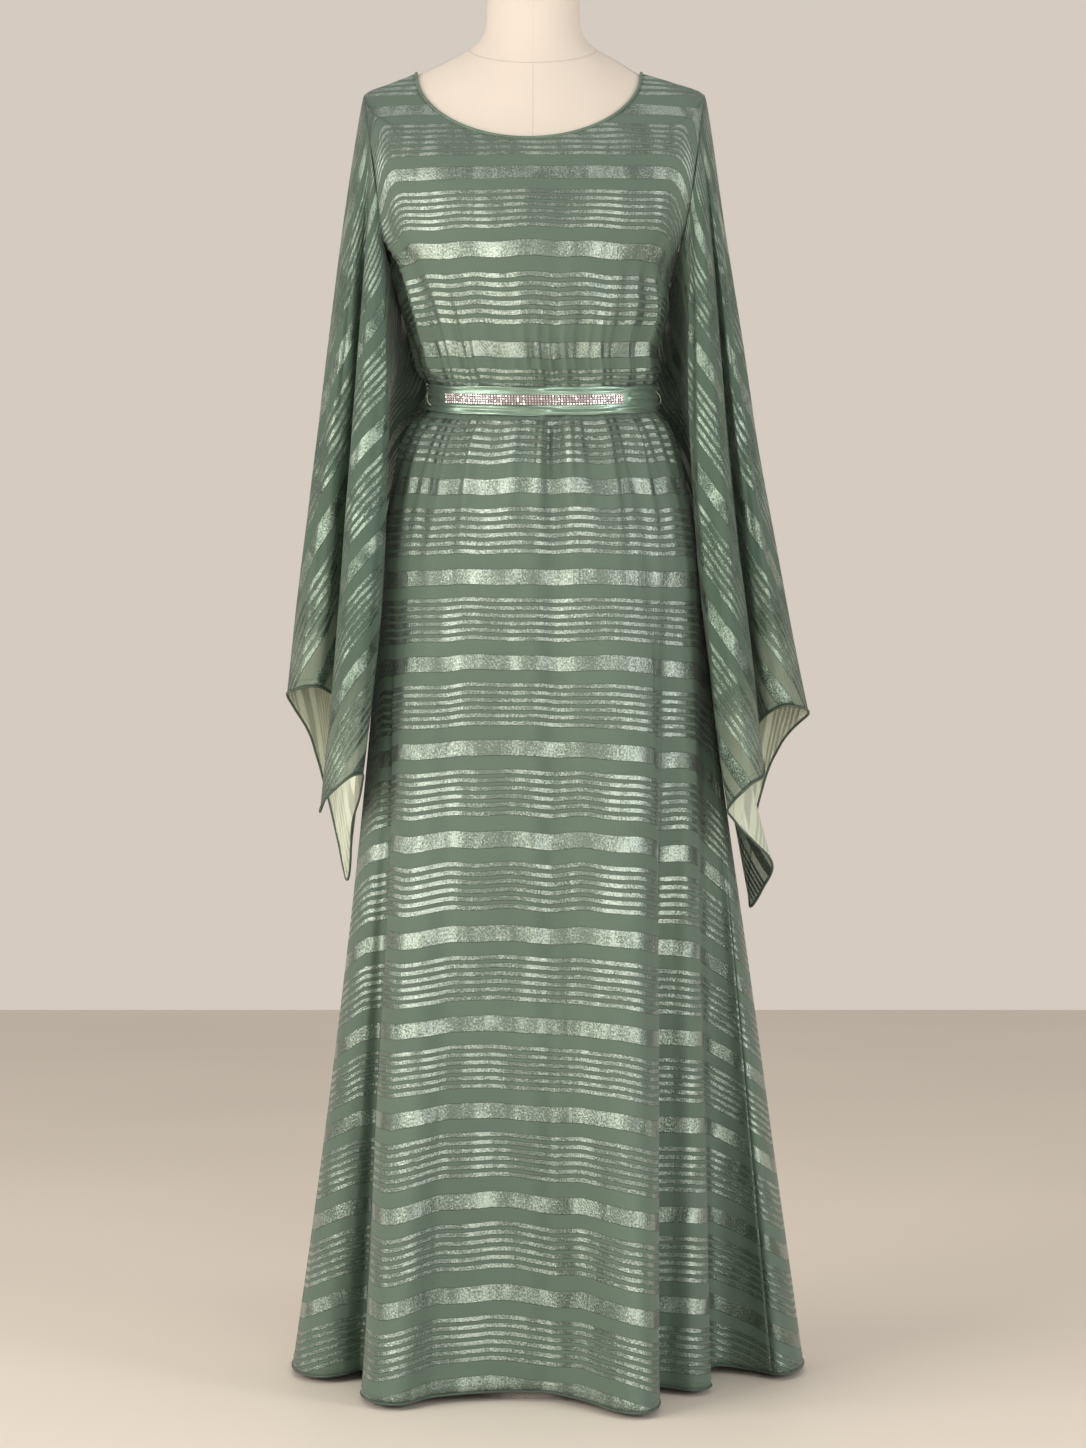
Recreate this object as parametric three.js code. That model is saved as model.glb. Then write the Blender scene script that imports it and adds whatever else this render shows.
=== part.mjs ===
// A long striped abaya with wide hanging sleeves and a belt, worn by a limbless dress form on a stand.
// Units are millimetres. +Z is up, the garment faces -Y, and the origin is the centre of the stand's foot.
// Right and left are the wearer's, so the right sleeve hangs on the -X side.
import * as THREE from "three";

const CLOTH = 1.5;
const SEAM = 0.3;
const GATHERS = 24;
const PANEL_STEPS = 48;
const NORMAL_STEP = 0.01;

// Height of the ring where the skirt leaves the hips.
const HIP_HEIGHT = 880;

// One row for each section of the worn tube, from the hips to the neckline. Heights and half widths are to
// the outside of the cloth. edge is how far round each panel reaches, in degrees from its middle, and is
// under 90 along the armhole. gather is the depth of the waist gathers, and clear the room over the form.
const BODY_COLUMNS = [
  "zFront", "zSide", "zBack", "right", "left", "front", "back", "edge", "gather", "clear",
];
const BODY_ROWS = {
  hips: [880, 880, 880, 170, 174, 118, 122, 90, 0, 12],
  lowWaist: [926, 930, 930, 163, 168, 114, 118, 90, 0.7, 11],
  yokeLow: [964, 970, 970, 154, 159, 109, 112, 90, 2.0, 10],
  yokeMid: [990, 1000, 1000, 146, 151, 105, 106, 90, 3.4, 10],
  yokeHigh: [1010, 1022, 1022, 137, 144, 101, 101, 90, 4.4, 10],
  belowBelt: [1025, 1038, 1038, 127, 136, 98, 97, 90, 4.0, 9],
  beltLow: [1036, 1050, 1050, 117, 128, 94, 93, 90, 1.2, 4],
  beltMiddle: [1049, 1063, 1063, 115, 126, 92, 92, 90, 1.0, 3.5],
  beltHigh: [1062, 1076, 1076, 117, 126, 94, 93, 90, 1.2, 4],
  aboveBelt: [1079, 1090, 1090, 124, 129, 101, 97, 90, 3.8, 9],
  blouseLow: [1106, 1113, 1113, 131, 128, 109, 100, 90, 3.2, 9],
  blouseHigh: [1147, 1150, 1150, 144, 136, 117, 102, 90, 1.4, 8],
  underarm: [1185, 1185, 1185, 155, 142, 122, 103, 90, 0, 6],
  armLow: [1212, 1222, 1225, 163, 152, 123, 105, 68, 0, 5],
  armMidLow: [1240, 1262, 1265, 168, 161, 121, 106, 60, 0, 4],
  armMiddle: [1265, 1303, 1303, 175, 168, 115, 105, 58, 0, 3.5],
  armMidHigh: [1287, 1340, 1338, 180, 172, 107, 100, 62, 0, 3],
  armHigh: [1304, 1370, 1365, 184, 176, 99, 93, 72, 0, 2.6],
  shoulderTip: [1316, 1390, 1383, 186, 178, 92, 85, 90, 0, 3.4],
  shoulder: [1324, 1402, 1393, 158, 147, 85, 76, 90, 0, 1.9],
  neckline: [1331, 1413, 1400, 130, 110, 78, 68, 90, 0, 1.9],
};
const BODY_NAMES = Object.keys(BODY_ROWS);
const HIPS = 0;
const BELT_LOW = BODY_NAMES.indexOf("beltLow");
const BELT_MIDDLE = BODY_NAMES.indexOf("beltMiddle");
const BELT_HIGH = BODY_NAMES.indexOf("beltHigh");
const UNDERARM = BODY_NAMES.indexOf("underarm");
const SHOULDER_TIP = BODY_NAMES.indexOf("shoulderTip");
const NECKLINE = BODY_NAMES.indexOf("neckline");

// Levels of the skirt, from 0 at the hem to 1 at the hips.
const SKIRT_LEVELS = [0, 0.13, 0.28, 0.45, 0.62, 0.76, 0.88];

// The skirt's folds: where each fold line leaves the hips, in degrees round from the front's middle towards
// the wearer's left, where it meets the hem, and how late it flares (1 is a straight line down).
const FOLD_COLUMNS = ["angle", "x", "y", "z", "flare"];
const SKIRT_FOLDS = [
  [-180, -5, 224, 6, 1.2], // back middle, crest
  [-163, -62, 180, 9, 1.2],
  [-148, -122, 214, 6, 1.2], // back right crest
  [-132, -178, 158, 9, 1.2],
  [-116, -240, 168, 6, 1.2], // rear right crest
  [-98, -269, 96, 6, 1.3],
  [-86, -262, 20, 6, 1.3], // side right crest
  [-77, -236, -10, 6, 1.25],
  [-68, -210, -6, 8, 1.25],
  [-62, -190, 14, 10, 1.25], // crease behind the front's right fold
  [-58, -176, -30, 8, 1.2],
  [-53, -186, -98, 6, 1.2], // front right fold edge
  [-46, -171, -150, 6, 1.2],
  [-37, -142, -164, 6, 1.2],
  [-26, -108, -132, 8, 1.2],
  [-13, -48, -110, 9, 1.2], // front valley
  [2, 4, -114, 9, 1.2],
  [14, 44, -146, 8, 1.2],
  [26, 80, -196, 6, 1.2],
  [35, 106, -212, 6, 1.2], // front left crest
  [42, 123, -184, 6, 1.2],
  [47, 126, -128, 6, 1.2], // front left fold edge
  [51, 112, -72, 8, 1.2], // crease
  [56, 134, -70, 7, 1.2],
  [63, 164, -86, 6, 1.2],
  [70, 184, -62, 6, 1.2], // second left fold edge
  [75, 180, -8, 8, 1.1], // crease
  [80, 194, 42, 9, 1.1],
  [86, 232, 34, 6, 1.05],
  [92, 262, 4, 6, 1.02], // side left crest
  [100, 286, 40, 6, 1],
  [109, 290, 112, 6, 1],
  [120, 246, 176, 6, 1.1],
  [134, 182, 158, 9, 1.15],
  [148, 126, 214, 6, 1.2], // back left crest
  [164, 58, 178, 9, 1.2],
  [180, -5, 224, 6, 1.2],
];

// The belt and the strip of stones on it.
const BELT_CLEAR = 2.2;
const BELT_THICK = 2.4;
const BELT_STEPS = 60;
const STRIP_FROM = -55;
const STRIP_TO = 42;
const STRIP_STEPS = 24;
const STRIP_REACH = 0.36;
const STRIP_THICK = 1;

const BINDING_WIDTH = 3.6;
const BINDING_PROUD = 0.5;

// Where each sleeve's hem hangs. at counts the 36 columns round the sleeve: 0 is the line over the
// shoulder, 24 the underarm, and the front lies between them. bowX and bowY push the column out halfway,
// and tuckX and tuckY push it in behind the waist.
const SLEEVE_COLUMNS = ["at", "x", "y", "z", "bowX", "bowY", "tuckX", "tuckY"];
const RIGHT_HEM = [
  [0, -271, 8, 740, 0, 0, 0, 0], // outer tip
  [2, -262, -20, 746, 0, 0, 0, 0],
  [4, -246, -33, 750, 0, -2, 0, 0],
  [6, -230, -27, 748, 0, -4, 0, 0],
  [8, -216, -6, 735, 2, 2, 0, 0],
  [9.5, -208, 10, 712, 2, 8, 0, 0], // crease
  [11, -215, -22, 665, 4, 0, 0, 0],
  [12.5, -231, -57, 618, 4, -2, 0, 0], // second tip
  [14, -225, -84, 630, 4, -4, 0, 0],
  [16, -206, -98, 648, 6, -8, 0, 0],
  [18, -191, -90, 657, 15, -10, 0, 0],
  [19.5, -185, -66, 652, 15, -8, 0, 0], // inner edge of the front fold
  [22, -199, -2, 605, 4, 4, 18, 14],
  [24, -208, 46, 540, 2, 14, 48, 34], // lowest corner
  [27, -220, 62, 584, 0, 8, 30, 10],
  [30, -233, 62, 640, 0, 4, 8, 3],
  [33, -250, 46, 700, 0, 0, 0, 0],
];
const LEFT_HEM = [
  [0, 293, 8, 722, -12, 0, 0, 0], // outer tip
  [2, 280, -20, 728, -11, -2, 0, 0],
  [4, 262, -31, 729, -9, -4, 0, 0],
  [6, 246, -22, 720, -6, -4, 0, 0],
  [7.5, 236, 2, 702, -4, 4, 0, 0], // crease
  [9, 242, -42, 660, -6, -4, 0, 0],
  [11, 224, -76, 645, -8, -6, 0, 0],
  [13, 203, -64, 622, -14, -4, 0, 0], // second tip
  [15, 210, -40, 606, -22, 4, 0, 0],
  [17, 230, -30, 585, -26, 2, 0, 0],
  [19, 252, -8, 562, -28, 4, 0, 0], // third tip, under the second fold
  [21.5, 246, 26, 534, -20, 6, -5, 12],
  [24, 231, 54, 512, -10, 10, -33, 34], // lowest corner
  [27, 236, 68, 590, -4, 6, -20, 12],
  [30, 250, 64, 652, 0, 4, -5, 3],
  [33, 270, 42, 696, -6, 0, 0, 0],
];
const SLEEVE_LEVELS = [0, 0.02, 0.06, 0.12, 0.17, 0.21, 0.27, 0.36, 0.5, 0.66, 0.83, 1];

// How much of the tuck a sleeve has at each level: it follows the body's side in to the waist and out again.
const TUCK_COLUMNS = ["level", "x", "y"];
const TUCK_ROWS = [
  [0, 0, 0],
  [0.02, 0.1, 0.75],
  [0.06, 0.37, 0.98],
  [0.12, 0.74, 1],
  [0.17, 0.93, 1],
  [0.21, 1, 1],
  [0.26, 0.62, 0.88],
  [0.33, 0.36, 0.6],
  [0.44, 0.18, 0.3],
  [0.6, 0.14, 0.12],
  [0.8, 0.06, 0.04],
  [1, 0, 0],
];
const SLEEVE_FRONT_COLUMNS = 24;
const SLEEVE_ALL_COLUMNS = 36;
const SLEEVE_SWING = 0.86;
const SLEEVE_GAP_TIP = 2.1;
const SLEEVE_GAP_UNDERARM = 0.8;

// The dress form above the neckline and below the hips, and its stand.
const NECK_COLUMNS = ["zFront", "zSide", "zBack", "right", "left", "front", "back"];
const NECK_ROWS = [
  [1368, 1426, 1424, 97, 85, 66, 65],
  [1405, 1440, 1446, 71, 61, 54, 58],
  [1432, 1456, 1464, 58, 48, 47, 52],
  [1470, 1482, 1486, 55, 45, 45, 50],
  [1528, 1528, 1528, 54, 44, 46, 51],
];
const FORM_STEPS = 28;
const FORM_LEVELS = [0, 5, 6, 7, 8, 10, 12, 13, 14, 15, 16, 17, 18, 19, 20];
const FORM_BOTTOM = 800;
const FORM_BOTTOM_CLEAR = 17;
const CAP_RADIUS = 45;
const CAP_THICK = 6;
const NECK_TOP = 1528;
const NECK_CENTRE = new THREE.Vector2(-5, 2.5);
const POLE_RADIUS = 14;
const FOOT_RADIUS = 100;
const FOOT_THICK = 12;

const radians = THREE.MathUtils.degToRad;
const lerp = THREE.MathUtils.lerp;

/** Reads a row of a table as named values. */
function named(columns, row) {
  return Object.fromEntries(columns.map((column, i) => [column, row[i]]));
}

const body = BODY_NAMES.map((name) => named(BODY_COLUMNS, BODY_ROWS[name]));
const skirtFolds = SKIRT_FOLDS.map((row) => named(FOLD_COLUMNS, row));
const tucks = TUCK_ROWS.map((row) => named(TUCK_COLUMNS, row));

/** A smooth curve through values at unevenly spaced places, with the tangents of a Catmull-Rom curve. */
function smooth(places, values, at) {
  const last = places.length - 1;
  let i = 0;
  while (i < last - 1 && at > places[i + 1]) i += 1;
  const slope = (k) => {
    const low = Math.max(0, k - 1);
    const high = Math.min(last, k + 1);
    return (values[high] - values[low]) / (places[high] - places[low]);
  };
  const width = places[i + 1] - places[i];
  const t = THREE.MathUtils.clamp((at - places[i]) / width, 0, 1);
  const rise = values[i + 1] - values[i];
  const startTangent = slope(i) * width;
  const endTangent = slope(i + 1) * width;
  return (
    values[i] + t * startTangent + t * t * (3 * rise - 2 * startTangent - endTangent) +
    t * t * t * (startTangent + endTangent - 2 * rise)
  );
}

/** Repeats a closed table once on each side, so that a curve through it has no seam. */
function periodic(rows, key, period) {
  const shifted = (turns) => rows.map((row) => ({ ...row, [key]: row[key] + turns * period }));
  return [...shifted(-1), ...shifted(0), ...shifted(1)];
}

function readTable(rows, key, at) {
  const places = rows.map((row) => row[key]);
  return Object.fromEntries(
    Object.keys(rows[0]).map((column) => [column, smooth(places, rows.map((row) => row[column]), at)]),
  );
}

/** The section of the worn tube at a row number that may lie between two rows. */
function section(level) {
  const places = body.map((row, i) => i);
  return Object.fromEntries(
    BODY_COLUMNS.map((column) => [column, smooth(places, body.map((row) => row[column]), level)]),
  );
}

/** A point on an oval section: angle 0 is the front's middle and 90 the wearer's left side. */
function ovalPoint(s, angle, reach = 90) {
  const wrapped = THREE.MathUtils.euclideanModulo(angle + 180, 360) - 180;
  const front = Math.abs(wrapped) <= 90;
  const turn = front ? wrapped : Math.sign(wrapped) * 180 - wrapped;
  const across = Math.sin(radians(turn)) / Math.sin(radians(reach));
  const away = Math.max(0, Math.cos(radians(turn))) ** 0.9;
  const rise = 1 - Math.cos(radians(Math.min(90, (Math.abs(turn) * 90) / reach)));
  const middle = (s.left - s.right) / 2;
  const half = (s.left + s.right) / 2;
  return new THREE.Vector3(
    middle + half * across,
    front ? -s.front * away : s.back * away,
    lerp(front ? s.zFront : s.zBack, s.zSide, rise),
  );
}

/** How far a waist gather stands out at an angle, as a share of the section's gather depth. */
function gatherWave(angle) {
  const strength = 1 + 0.35 * Math.sin(radians(3 * angle + 40)) + 0.2 * Math.sin(radians(7 * angle));
  return strength * Math.cos(radians(GATHERS * angle));
}

const foldsAround = skirtFolds.slice(0, -1);
const foldRing = periodic(foldsAround, "angle", 360);

/** The outside of the cloth. level is -1 at the hem and 0 at the hips, and counts the body rows upward. */
function clothPoint(angle, level, reach = 90) {
  if (level < HIPS) {
    const fold = readTable(foldRing, "angle", angle);
    const hip = ovalPoint(body[HIPS], angle);
    const drop = -level;
    const spread = drop ** fold.flare;
    return new THREE.Vector3(
      lerp(hip.x, fold.x, spread),
      lerp(hip.y, fold.y, spread),
      lerp(HIP_HEIGHT, fold.z, drop),
    );
  }
  const s = section(level);
  const point = ovalPoint(s, angle, reach);
  const out = s.gather * gatherWave(angle);
  point.x += out * Math.sin(radians(angle));
  point.y -= out * Math.cos(radians(angle));
  return point;
}

/** A point of the front or back panel: across runs from -1 to 1 over the panel. */
function panelPoint(side, across, level) {
  const reach = level > UNDERARM && level < SHOULDER_TIP ? Math.min(90, section(level).edge) : 90;
  const turn = across * reach;
  return clothPoint(side === "front" ? turn : 180 - turn, level, reach);
}

/** The unit vector square to two directions, turned by sign to the side that is outside. */
function squareTo(first, second, sign) {
  return first.clone().cross(second).normalize().multiplyScalar(sign);
}

/** The unit normal of a surface given as a function of two numbers. */
function normalOf(surface, a, b, stepA, stepB, sign) {
  const alongA = surface(a + stepA, b).sub(surface(a - stepA, b));
  const alongB = surface(a, b + stepB).sub(surface(a, b - stepB));
  return squareTo(alongA, alongB, sign);
}

/** The outward normal of a panel. Where the panels meet at a side, both give the same one. */
function panelNormal(side, across, level) {
  const sign = side === "front" ? 1 : -1;
  const open = level > UNDERARM && level < SHOULDER_TIP;
  const bottom = level <= UNDERARM ? -1 : open ? UNDERARM : SHOULDER_TIP;
  const top = level <= UNDERARM ? UNDERARM : open ? SHOULDER_TIP : NECKLINE;
  const low = Math.max(level - NORMAL_STEP, bottom);
  const high = Math.min(level + NORMAL_STEP, top);
  const upwards = panelPoint(side, across, high).sub(panelPoint(side, across, low));
  const inside = open ? THREE.MathUtils.clamp(across, -1 + NORMAL_STEP, 1 - NORMAL_STEP) : across;
  const before = panelPoint(side, inside - NORMAL_STEP, level);
  const sideways = panelPoint(side, inside + NORMAL_STEP, level).sub(before);
  return squareTo(sideways, upwards, sign);
}

/** The share of a panel's half width that leaves half a seam's gap at its side edge. */
function seamShare(side, level) {
  const near = panelPoint(side, 1, level).distanceTo(panelPoint(side, 1 - NORMAL_STEP, level));
  return (NORMAL_STEP * SEAM) / 2 / near;
}

/** A closed mesh from points and triangles, turned to face out. */
function geometryOf(points, faces) {
  const positions = points.flatMap((p) => [p.x, p.y, p.z]);
  let volume = 0;
  for (const [a, b, c] of faces) volume += points[a].dot(points[b].clone().cross(points[c]));
  const facing = volume < 0 ? faces.map(([a, b, c]) => [a, c, b]) : faces;
  return new THREE.BufferGeometry()
    .setAttribute("position", new THREE.Float32BufferAttribute(positions, 3))
    .setIndex(facing.flat());
}

/** A wall between two grids of the same size, closed at its four edges, or round on itself. */
function wallGeometry(outer, inner, round) {
  const rows = outer.length;
  const columns = outer[0].length;
  const points = [...outer.flat(), ...inner.flat()];
  const out = (r, c) => r * columns + (c % columns);
  const inn = (r, c) => rows * columns + out(r, c);
  const faces = [];
  const quad = (a, b, c, d) => faces.push([a, b, c], [a, c, d]);
  const steps = round ? columns : columns - 1;
  for (let r = 0; r < rows - 1; r += 1) {
    for (let c = 0; c < steps; c += 1) {
      quad(out(r, c), out(r, c + 1), out(r + 1, c + 1), out(r + 1, c));
      quad(inn(r, c), inn(r + 1, c), inn(r + 1, c + 1), inn(r, c + 1));
    }
    if (!round) {
      quad(out(r, 0), out(r + 1, 0), inn(r + 1, 0), inn(r, 0));
      quad(out(r, steps), inn(r, steps), inn(r + 1, steps), out(r + 1, steps));
    }
  }
  for (let c = 0; c < steps; c += 1) {
    quad(out(0, c), inn(0, c), inn(0, c + 1), out(0, c + 1));
    quad(out(rows - 1, c), out(rows - 1, c + 1), inn(rows - 1, c + 1), inn(rows - 1, c));
  }
  return geometryOf(points, faces);
}

/** A solid through closed rings, with a flat fan over each end. */
function ringSolid(rings) {
  const columns = rings[0].length;
  const points = rings.flat();
  const faces = [];
  const at = (r, c) => r * columns + (c % columns);
  for (let r = 0; r < rings.length - 1; r += 1) {
    for (let c = 0; c < columns; c += 1) {
      faces.push([at(r, c), at(r, c + 1), at(r + 1, c + 1)], [at(r, c), at(r + 1, c + 1), at(r + 1, c)]);
    }
  }
  const top = rings.length - 1;
  for (let c = 1; c < columns - 1; c += 1) {
    faces.push([at(0, 0), at(0, c + 1), at(0, c)], [at(top, 0), at(top, c), at(top, c + 1)]);
  }
  return geometryOf(points, faces);
}

/** How far below the neckline's row a panel stops, so that the binding has an even width. */
function levelsBelowNeckline(side, across, distance) {
  const edge = panelPoint(side, across, NECKLINE);
  const below = panelPoint(side, across, NECKLINE - 0.2);
  return (0.2 * distance) / edge.distanceTo(below);
}

function panelLevels() {
  return [...SKIRT_LEVELS.map((share) => share - 1), ...body.map((row, i) => i)];
}

/** The front or back of the abaya, one piece from the shoulders to the hem. */
function panelGeometry(side) {
  const outer = [];
  const inner = [];
  for (const level of panelLevels()) {
    const outerRow = [];
    const innerRow = [];
    for (let i = 0; i <= PANEL_STEPS; i += 1) {
      const full = (2 * i) / PANEL_STEPS - 1;
      const across = full * (1 - seamShare(side, level));
      const height = Math.min(level, NECKLINE - levelsBelowNeckline(side, across, BINDING_WIDTH + SEAM));
      const point = panelPoint(side, across, height);
      const edge = Math.abs(full) === 1 ? full : across;
      outerRow.push(point);
      innerRow.push(point.clone().addScaledVector(panelNormal(side, edge, height), -CLOTH));
    }
    outer.push(outerRow);
    inner.push(innerRow);
  }
  return wallGeometry(outer, inner, false);
}

/** The narrow binding round the neck opening, edge to edge with both panels. */
function bindingGeometry() {
  const columns = 2 * PANEL_STEPS;
  const outer = [[], []];
  const inner = [[], []];
  for (let i = 0; i < columns; i += 1) {
    const side = i < PANEL_STEPS ? "front" : "back";
    const across = side === "front" ? (2 * i) / PANEL_STEPS - 1 : 1 - (2 * (i - PANEL_STEPS)) / PANEL_STEPS;
    const normal = panelNormal(side, across, NECKLINE - NORMAL_STEP);
    [levelsBelowNeckline(side, across, BINDING_WIDTH), 0].forEach((below, row) => {
      const point = panelPoint(side, across, NECKLINE - below);
      outer[row].push(point.clone().addScaledVector(normal, BINDING_PROUD));
      inner[row].push(point.clone().addScaledVector(normal, -CLOTH));
    });
  }
  return wallGeometry(outer, inner, true);
}

/** A point out from the plain section at the belt. rise is -1 at its lower edge and 1 at its upper. */
function beltPoint(angle, rise, out) {
  const ring = (level) => {
    const point = ovalPoint(section(level), angle);
    point.x += out * Math.sin(radians(angle));
    point.y -= out * Math.cos(radians(angle));
    return point;
  };
  return ring(BELT_MIDDLE).lerp(ring(rise < 0 ? BELT_LOW : BELT_HIGH), Math.abs(rise));
}

function beltGeometry() {
  const angles = Array.from({ length: BELT_STEPS }, (_, i) => (360 * i) / BELT_STEPS);
  const rings = (out) => [-1, 0, 1].map((rise) => angles.map((angle) => beltPoint(angle, rise, out)));
  return wallGeometry(rings(BELT_CLEAR + BELT_THICK), rings(BELT_CLEAR), true);
}

/** The backing of the stones, lying on the belt's front. */
function stripGeometry() {
  const lift = BELT_CLEAR + BELT_THICK + SEAM;
  const angleAt = (i) => lerp(STRIP_FROM, STRIP_TO, i / STRIP_STEPS);
  const angles = Array.from({ length: STRIP_STEPS + 1 }, (_, i) => angleAt(i));
  const rows = (out) =>
    [-1, 0, 1].map((rise) => angles.map((angle) => beltPoint(angle, rise * STRIP_REACH, out)));
  return wallGeometry(rows(lift + STRIP_THICK), rows(lift), false);
}

/** The edge of the armhole, from 0 at the shoulder's tip to 24 at the underarm and 36 back at the tip. */
function armholePoint(side, at) {
  const front = at <= SLEEVE_FRONT_COLUMNS;
  const backColumns = SLEEVE_ALL_COLUMNS - SLEEVE_FRONT_COLUMNS;
  const share = front ? at / SLEEVE_FRONT_COLUMNS : (SLEEVE_ALL_COLUMNS - at) / backColumns;
  const level = lerp(SHOULDER_TIP, UNDERARM, share);
  const low = Math.floor(level);
  const high = Math.min(low + 1, SHOULDER_TIP);
  const across = side === "left" ? 1 : -1;
  const panel = front ? "front" : "back";
  const point = panelPoint(panel, across, low).lerp(panelPoint(panel, across, high), level - low);
  point.x += across * lerp(SLEEVE_GAP_TIP, SLEEVE_GAP_UNDERARM, share);
  return point;
}

/** A point of a sleeve: level 0 is the armhole and 1 the hem. */
function sleevePoint(side, hem, at, level) {
  const wrapped = (at + SLEEVE_ALL_COLUMNS) % SLEEVE_ALL_COLUMNS;
  const start = armholePoint(side, wrapped);
  const end = readTable(hem, "at", wrapped);
  const bow = 4 * level * (1 - level);
  const swing = level ** SLEEVE_SWING;
  const tuck = readTable(tucks, "level", level);
  return new THREE.Vector3(
    lerp(start.x, end.x, swing) + bow * end.bowX + tuck.x * end.tuckX,
    lerp(start.y, end.y, swing) + bow * end.bowY + tuck.y * end.tuckY,
    lerp(start.z, end.z, level),
  );
}

function sleeveGeometry(side, rows) {
  const hem = periodic(rows.map((row) => named(SLEEVE_COLUMNS, row)), "at", SLEEVE_ALL_COLUMNS);
  const surface = (at, level) => sleevePoint(side, hem, at, level);
  const outer = [];
  const inner = [];
  for (const level of SLEEVE_LEVELS) {
    const sampled = THREE.MathUtils.clamp(level, NORMAL_STEP, 1 - NORMAL_STEP);
    const outerRow = [];
    const innerRow = [];
    for (let at = 0; at < SLEEVE_ALL_COLUMNS; at += 1) {
      const point = surface(at, level);
      const normal = normalOf(surface, at, sampled, 0.5, NORMAL_STEP, side === "left" ? 1 : -1);
      outerRow.push(point);
      innerRow.push(point.clone().addScaledVector(normal, -CLOTH));
    }
    outer.push(outerRow);
    inner.push(innerRow);
  }
  return wallGeometry(outer, inner, true);
}

/** Half widths of the form along the armhole, where its side is closed and narrower than the panels. */
function formSection(level) {
  const s = section(level);
  if (level > UNDERARM && level < SHOULDER_TIP) {
    const share = (level - UNDERARM) / (SHOULDER_TIP - UNDERARM);
    const low = section(UNDERARM);
    const high = section(SHOULDER_TIP);
    s.right = lerp(low.right, high.right, share ** 1.8);
    s.left = lerp(low.left, high.left, share ** 1.8);
  }
  return s;
}

function formRing(level) {
  const surface = (angle, at) => ovalPoint(formSection(at), angle);
  return Array.from({ length: FORM_STEPS }, (_, i) => {
    const angle = (360 * i) / FORM_STEPS - 180;
    const sampled = THREE.MathUtils.clamp(level, NORMAL_STEP, NECKLINE - NORMAL_STEP);
    const normal = normalOf(surface, angle, sampled, 1, NORMAL_STEP, 1);
    return surface(angle, level).addScaledVector(normal, -section(level).clear);
  });
}

function formGeometry() {
  const bottom = formRing(HIPS).map((p) => {
    const inwards = new THREE.Vector3(p.x, p.y, 0).normalize();
    return p.clone().addScaledVector(inwards, body[HIPS].clear - FORM_BOTTOM_CLEAR).setZ(FORM_BOTTOM);
  });
  const trunk = FORM_LEVELS.map((level) => formRing(level));
  const neck = NECK_ROWS.map((row) => {
    const s = named(NECK_COLUMNS, row);
    return Array.from({ length: FORM_STEPS }, (_, i) => ovalPoint(s, (360 * i) / FORM_STEPS - 180));
  });
  return ringSolid([bottom, ...trunk, ...neck]);
}

/** A solid turned round the Z axis from points of radius and height. */
function turned(profile, segments) {
  const outline = profile.map(([r, z]) => new THREE.Vector2(r, z));
  return new THREE.LatheGeometry(outline, segments).rotateX(Math.PI / 2);
}

function capGeometry() {
  const base = NECK_TOP + SEAM;
  const top = base + CAP_THICK;
  const profile = [[0, base], [CAP_RADIUS, base], [CAP_RADIUS, top - 2], [CAP_RADIUS - 2, top], [0, top]];
  return turned(profile, 32).translate(NECK_CENTRE.x, NECK_CENTRE.y, 0);
}

function poleGeometry() {
  const low = FOOT_THICK + SEAM;
  const high = FORM_BOTTOM - SEAM;
  return turned([[0, low], [POLE_RADIUS, low], [POLE_RADIUS, high], [0, high]], 24);
}

function footGeometry() {
  const top = FOOT_THICK;
  const profile = [[0, 0], [FOOT_RADIUS, 0], [FOOT_RADIUS, top - 5], [FOOT_RADIUS - 6, top], [0, top]];
  return turned(profile, 48);
}

const cloth = (colour) => new THREE.MeshStandardMaterial({ color: colour, roughness: 0.55, metalness: 0.1 });
const green = cloth(0x6f8871);
const paleGreen = cloth(0x7d967f);
const bindingGreen = cloth(0x5d765f);
const stones = new THREE.MeshStandardMaterial({ color: 0xd8c8c4, roughness: 0.2, metalness: 0.6 });
const linen = new THREE.MeshStandardMaterial({ color: 0xeee2d5, roughness: 0.85, metalness: 0 });
const steel = new THREE.MeshStandardMaterial({ color: 0xc9c6c0, roughness: 0.4, metalness: 0.8 });

const pieces = [
  ["front_panel", panelGeometry("front"), green],
  ["back_panel", panelGeometry("back"), green],
  ["sleeve_right", sleeveGeometry("right", RIGHT_HEM), green],
  ["sleeve_left", sleeveGeometry("left", LEFT_HEM), green],
  ["neck_binding", bindingGeometry(), bindingGreen],
  ["belt", beltGeometry(), paleGreen],
  ["belt_stone_strip", stripGeometry(), stones],
  ["form_torso", formGeometry(), linen],
  ["form_neck_cap", capGeometry(), linen],
  ["stand_pole", poleGeometry(), steel],
  ["stand_foot", footGeometry(), steel],
];

const abaya = new THREE.Group();
for (const [name, geometry, material] of pieces) {
  const mesh = new THREE.Mesh(geometry, material);
  mesh.name = name;
  abaya.add(mesh);
}

export default abaya;
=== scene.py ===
"""A long striped abaya with hanging sleeves and a belt, worn by a limbless dress form on a stand."""

import logging
import math
from dataclasses import dataclass, field
from enum import Enum

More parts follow.
